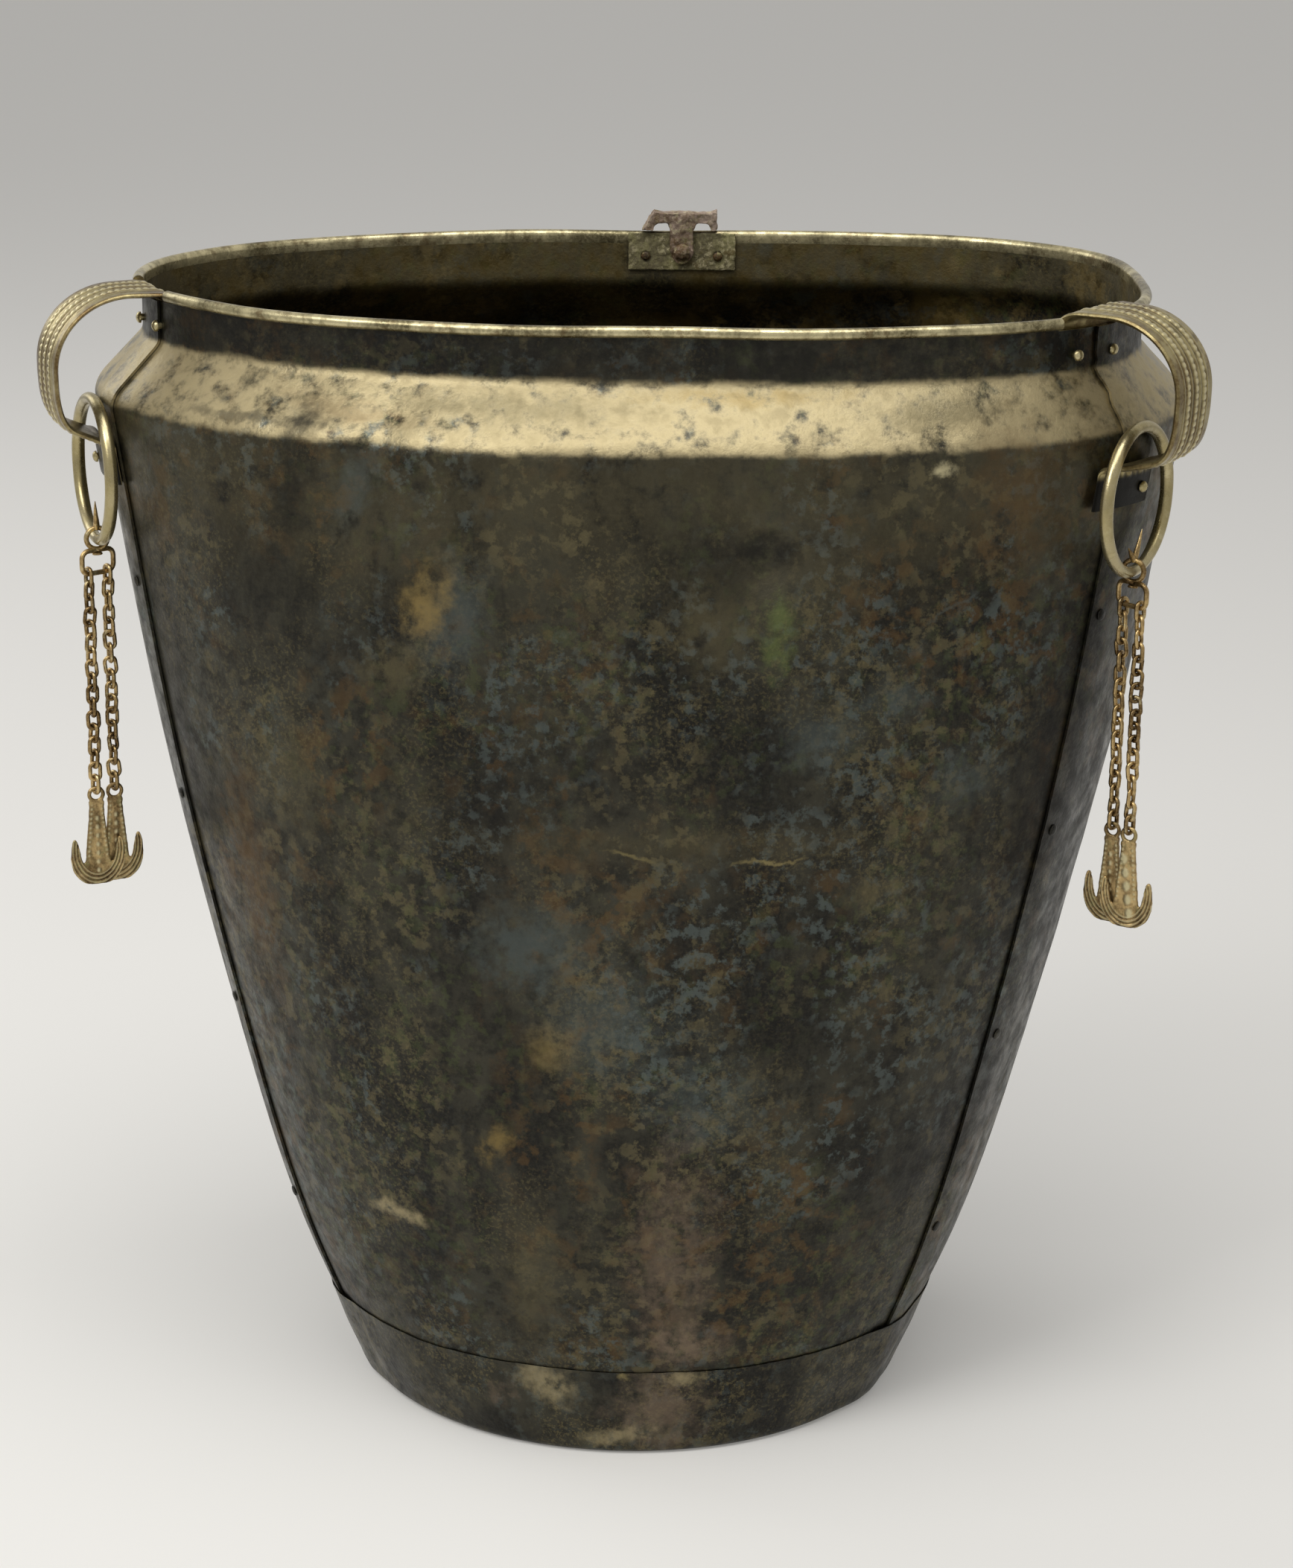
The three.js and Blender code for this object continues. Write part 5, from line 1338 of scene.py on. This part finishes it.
class PanOperator(bpy.types.Operator):
    """Makes the raised base pan"""
    bl_idname = "situla.pan"
    bl_label = "Base pan"

    def execute(self, context):
        c = context.scene.situla_colours
        # Raised pan bronze: the same dark patina as the sheets, with painted highlights in pale and pinkish
        # tan on its front and painted glints on its upper edge
        pan = Bronze("Raised pan bronze, patina with painted highlights", c.wall, c.dark_stain_and_shade, metallic=0.7,
                     roughness=(0.28, 0.5), cloud=40, flake=8, grain=1.6)
        pan.layers((c.crust, 6, 60, 0.5), (c.bloom, 5, 50, 0.4), (c.gold, 1.3, 30, 0.25))
        # All these spots are painted highlights on the pan's front, the last two painted glints on its
        # upper edge
        pan.spots(((-30, -98, 27), 14, 8, -24, c.shoulder, 0.6), ((-46, -93, 20), 7, 7, 0, c.warm_highlight, 0.6),
                  ((10, -98, 17), 18, 20, 0, c.warm_highlight, 0.6), ((-4, -98, 8), 16, 4, 10, c.shoulder, 0.55),
                  ((20, -101, 31), 9, 3, 6, c.shoulder, 0.6), ((24, -102, 33), 4, 1.6, 0, c.worn, 0.9),
                  ((-2, -100, 32), 3, 1.3, 0, c.gold, 0.8))
        material = pan.finished(12, 0.15)
        make_piece("base_pan_raised", base_pan(Wall()), material, VESSEL, ["base_pan"], 40)
        return {"FINISHED"}


class StrapsOperator(bpy.types.Operator):
    """Makes the two strap handles with their beaded rows"""
    bl_idname = "situla.straps"
    bl_label = "Strap handles"

    def execute(self, context):
        wall = Wall()
        c = context.scene.situla_colours
        # Chased strap bronze: satin yellow metal, dark in the grooves and pale on the rubbed beads, with
        # painted shade on the plates at its ends
        strap_bronze = Bronze("Chased strap bronze, beads rubbed pale", c.strap, c.umber,
                              roughness=(0.26, 0.44), cloud=30, flake=5, grain=0.9)
        strap_bronze.layers((c.crust, 4, 24, 0.6))
        material = strap_bronze.relief(c.worn, c.dark_stain_and_shade).finished(5, 0.05, 0.02, 0.015)
        for side in HANDLE_PLACE:
            solid, relief = Handle(wall, side).strap()
            strap = make_piece(f"{side}_handle_strap_beaded", solid, material, VESSEL,
                               [f"{side}_handle_strap"], 60)
            give_relief(strap, relief)
        return {"FINISHED"}


class RivetsOperator(bpy.types.Operator):
    """Makes the domed handle rivets and the flat seam rivets"""
    bl_idname = "situla.rivets"
    bl_label = "Rivets"

    def execute(self, context):
        wall = Wall()
        h, v = in_mm("situla_handles"), wall.vessel
        c = context.scene.situla_colours
        # Hammered rivet bronze: rubbed bright on the handles, under the sheets' patina in the seams
        bright = Bronze("Hammered rivet bronze, rubbed", c.worn, c.strap, roughness=(0.22, 0.38),
                        cloud=8, flake=3, grain=0.8).finished(2.5, 0.04, 0.015, 0.01)
        dull = Bronze("Hammered rivet bronze, dark patina", c.wall, c.dark_stain_and_shade, metallic=0.7,
                      roughness=(0.35, 0.55), cloud=9, flake=3).finished(2.5, 0.04)

        def rivet(name, place, height, outside, inside, head_height, seed, material):
            solid = rivet_solid(outside - inside + 2 * v.gap, head_height, seed)
            matrix = rivet_matrix(wall, place, height, outside + v.gap)
            make_piece(f"{name}_domed", placed(solid, matrix), material, VESSEL, [name])

        handles = {side: Handle(wall, side) for side in HANDLE_PLACE}
        for number, (side, handle) in enumerate(handles.items()):
            half = h.thickness / 2
            # What a rivet holds together lies between two offsets from the wall's outer face
            stacks = {"upper": (wall.lap_step, handle.inside - half),
                      "lower": (handle.outside + half, -v.sheet_thickness)}
            for row, sites in handle.rivet_sites().items():
                for i, (place, height) in enumerate(sites):
                    rivet(f"{side}_{row}_rivet_{i + 1}", place, height, *stacks[row], h.head_height,
                          4 * number + i, bright)
        top = handles["right"].plate_top - h.outer_plate
        for side, seam, lap_end in (("right", RIGHT_SEAM, wall.right_lap_end),
                                    ("left", LEFT_SEAM, wall.left_lap_end)):
            for i in range(SEAM_RIVETS):
                height = lerp(v.pan_height, top, (i + 0.5) / SEAM_RIVETS)
                rivet(f"{side}_seam_rivet_{i + 1}", (seam + lap_end) / 2, height, wall.lap_step,
                      -v.sheet_thickness, SEAM_HEAD_HEIGHT, 20 + i, dull)
        return {"FINISHED"}


class RingsOperator(bpy.types.Operator):
    """Makes the two cast rings"""
    bl_idname = "situla.rings"
    bl_label = "Rings"

    def execute(self, context):
        wall = Wall()
        c = context.scene.situla_colours
        # Cast ring bronze: smooth and satin, browner where hands and straps don't rub it
        ring_bronze = Bronze("Cast ring bronze, smooth", c.cast, c.strap, metallic=0.9,
                             roughness=(0.22, 0.36), cloud=22, flake=5)
        material = ring_bronze.layers((c.worn, 5, 20, 0.5)).finished(7, 0.05, 0.015, 0.01)
        for side in HANDLE_PLACE:
            handle = Handle(wall, side)
            solid = placed(ring_solid(), handle.frame_on_ring(handle.ring_centre[2]))
            node = f"{side}_ring"
            make_piece(f"{node}_cast", solid, material, node, [node])
        return {"FINISHED"}


class ChainsOperator(bpy.types.Operator):
    """Makes the bent wire yokes and the four double runs of chain"""
    bl_idname = "situla.chains"
    bl_label = "Yokes and chains"

    def execute(self, context):
        wall = Wall()
        g = in_mm("situla_hanging")
        c = context.scene.situla_colours
        # Drawn wire bronze: tan gold with brown in the bends
        wire = Bronze("Drawn wire bronze, tan gold", c.chain, c.umber, metallic=0.88,
                      roughness=(0.24, 0.42), cloud=11, flake=2.5, grain=0.8)
        material = wire.layers((c.worn, 2, 9, 0.6)).finished(3, 0.04, 0.02, 0.015)
        for side in HANDLE_PLACE:
            handle = Handle(wall, side)
            turn = math.atan2(handle.front * 2.4, 7.2)
            foot = handle.ring_centre[2] - g.ring_radius
            make_piece(f"{side}_yoke_bent", placed(yoke_solid(turn), handle.frame_on_ring(foot)), material,
                       f"{side}_yoke", [f"{side}_yoke"])
            for strand, name in enumerate(("outer", "inner")):
                for run, (part, links) in enumerate((("upper", g.upper_links), ("lower", g.lower_links))):
                    node = f"{side}_{name}_chain_{part}"
                    low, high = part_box(node)
                    first_turn = turn + math.pi / 2 + run * g.upper_links * math.pi / 2
                    seed = 31 * strand + 7 * run + len(side)
                    solid = chain_solid(links, (high.z - low.z) / MM, first_turn, seed)
                    make_piece(f"{node}_links", placed(solid, handle.frame_in(node)), material, node,
                               [node])
        return {"FINISHED"}


class PendantsOperator(bpy.types.Operator):
    """Makes the four cast anchor pendants"""
    bl_idname = "situla.pendants"
    bl_label = "Pendants"

    def execute(self, context):
        wall = Wall()
        c = context.scene.situla_colours
        # Cast pendant bronze: granular, greenish in the hollows and gold on the bumps
        cast = Bronze("Cast pendant bronze, brown gold", c.chain, c.umber, metallic=0.8,
                      roughness=(0.28, 0.5), cloud=9, flake=2.5, grain=0.8)
        cast.layers((c.verdigris, 2.5, 9, 0.6), (c.gold, 1.2, 6, 0.6))
        material = cast.relief(c.worn, c.dark_stain_and_shade).finished(3, 0.05, 0.04, 0.03)
        for number, side in enumerate(HANDLE_PLACE):
            handle = Handle(wall, side)
            for strand, name in enumerate(("outer", "inner")):
                node = f"{side}_{name}_pendant"
                solid, relief = pendant_solid(3 * number + strand, side == "right" and name == "outer")
                solid = placed(solid, handle.frame_in(node, EYE_DROP))
                piece = make_piece(f"{node}_cast", solid, material, node, [node], 80)
                give_relief(piece, relief)
        return {"FINISHED"}


class BracketOperator(bpy.types.Operator):
    """Makes the corroded lid bracket at the back of the rim"""
    bl_idname = "situla.bracket"
    bl_label = "Lid bracket"

    def execute(self, context):
        c = context.scene.situla_colours
        # Corroded bracket bronze: a matt crust, yellow green on the plate and pinkish on the block
        plate = Bronze("Corroded bracket plate, yellow green crust", c.verdigris, c.crust, metallic=0.3,
                       roughness=(0.55, 0.8), cloud=14, flake=4, grain=1)
        plate.layers((c.inside, 5, 16, 0.8), (c.worn, 2, 10, 0.6))
        green = plate.finished(3, 0.15, 0.12, 0.08)
        block = Bronze("Corroded bracket block, pinkish crust", c.stone, c.umber, metallic=0.3,
                       roughness=(0.55, 0.8), cloud=16, flake=4, grain=1)
        crust = block.layers((c.verdigris, 4, 12, 0.6), (c.worn, 2, 9, 0.6)).finished(3, 0.15, 0.12, 0.08)
        knob = Bronze("Corroded rivet bronze, dark", c.umber, c.dark_stain_and_shade, metallic=0.4,
                      roughness=(0.45, 0.7), cloud=6, flake=2)
        dark = knob.layers((c.verdigris, 2, 6, 0.6)).finished(2, 0.08)
        # Name, material, size of the remeshed faces and depth of the corrosion, in millimetres
        pieces = (("bracket_plate", green, 0.4, 0.3), ("bracket_block", crust, 0.45, 0.5),
                  ("bracket_stud", crust, 0.3, 0.25), ("bracket_rivet_1", dark, 0.22, 0.12),
                  ("bracket_rivet_2", dark, 0.22, 0.12))
        for i, (name, material, voxel, depth) in enumerate(pieces):
            make_piece(f"{name}_corroded", corroded(name, voxel, depth, 3.2, 1.7 * i), material, VESSEL,
                       [name], 70)
        return {"FINISHED"}


class StageOperator(bpy.types.Operator):
    """Makes the pale floor, the soft studio lights and the pale background"""
    bl_idname = "situla.stage"
    bl_label = "Studio"

    def seen(self, tree):
        """1 on rays from the camera and on mirrored and passing rays, and 0 on the rest."""
        path = add_node(tree, "ShaderNodeLightPath").outputs
        both = add_node(tree, "ShaderNodeMath", {0: path["Is Camera Ray"], 1: path["Is Glossy Ray"]},
                        operation="MAXIMUM")
        return add_node(tree, "ShaderNodeMath", {0: both.outputs[0], 1: path["Is Transmission Ray"]},
                        operation="MAXIMUM").outputs[0]

    def execute(self, context):
        scene = context.scene
        c = scene.situla_colours
        mesh = bpy.data.meshes.new("studio_floor")
        half = 12
        corners = [(-half, -half, 0), (half, -half, 0), (half, half, 0), (-half, half, 0)]
        mesh.from_pydata(corners, [], [(0, 1, 2, 3)])
        floor = bpy.data.objects.new("studio_floor", mesh)
        scene.collection.objects.link(floor)
        # Matt painted floor: pale and without gloss, so that it takes a soft shadow and no reflection
        material = bpy.data.materials.new("Matt studio floor")
        material.use_nodes = True
        tree = material.node_tree
        shader = tree.nodes["Principled BSDF"]
        shader.inputs["Base Color"].default_value = c.floor
        shader.inputs["Roughness"].default_value = 0.85
        shader.inputs["Emission Color"].default_value = c.floor
        lift = add_node(tree, "ShaderNodeMath", {0: self.seen(tree), 1: FLOOR_LIFT}, operation="MULTIPLY")
        tree.links.new(lift.outputs[0], shader.inputs["Emission Strength"])
        mesh.materials.append(material)

        world = bpy.data.worlds.new("studio_world")
        scene.world = world
        world.use_nodes = True
        tree = world.node_tree
        tree.nodes.clear()
        fill = add_node(tree, "ShaderNodeBackground", {"Color": linear("#e8e8ea"), "Strength": FILL})
        pale = add_node(tree, "ShaderNodeBackground", {"Color": linear("#dddbd7"), "Strength": BACKDROP})
        choice = add_node(tree, "ShaderNodeMixShader", {
            0: self.seen(tree), 1: fill.outputs[0], 2: pale.outputs[0]})
        add_node(tree, "ShaderNodeOutputWorld", {0: choice.outputs[0]})

        for name, place, size, watts in LAMPS:
            data = bpy.data.lights.new(name, "AREA")
            data.shape = "SQUARE"
            data.size = size
            data.energy = watts
            lamp = bpy.data.objects.new(name, data)
            lamp.location = place
            aim = Vector(LAMP_AIM) - Vector(place)
            lamp.rotation_euler = aim.to_track_quat("-Z", "Y").to_euler()
            scene.collection.objects.link(lamp)
        scene.view_settings.view_transform = "Standard"
        return {"FINISHED"}


class SitulaPanel(bpy.types.Panel):
    """Lists the situla's pieces and sizes in the sidebar"""
    bl_label = "Bronze situla"
    bl_idname = "VIEW3D_PT_situla"
    bl_space_type = "VIEW_3D"
    bl_region_type = "UI"
    bl_category = "Situla"

    def draw(self, context):
        for operator in OPERATORS:
            self.layout.operator(operator.bl_idname)
        for name, group in GROUPS.items():
            box = self.layout.box()
            for key in group.__annotations__:
                box.prop(getattr(context.scene, name), key)


OPERATORS = (CameraOperator, SheetsOperator, PanOperator, StrapsOperator, RivetsOperator, RingsOperator,
             ChainsOperator, PendantsOperator, BracketOperator, StageOperator)
CLASSES = (*GROUPS.values(), *OPERATORS, SitulaPanel)


def register():
    for one in CLASSES:
        bpy.utils.register_class(one)
    for name, group in GROUPS.items():
        setattr(bpy.types.Scene, name, PointerProperty(type=group))


def unregister():
    for name in GROUPS:
        delattr(bpy.types.Scene, name)
    for one in reversed(CLASSES):
        bpy.utils.unregister_class(one)


def main():
    register()
    bpy.ops.situla.camera()
    bpy.ops.situla.sheets()
    bpy.ops.situla.pan()
    bpy.ops.situla.straps()
    bpy.ops.situla.rivets()
    bpy.ops.situla.rings()
    bpy.ops.situla.chains()
    bpy.ops.situla.pendants()
    bpy.ops.situla.bracket()
    bpy.ops.situla.stage()


if __name__ == "__main__":
    main()
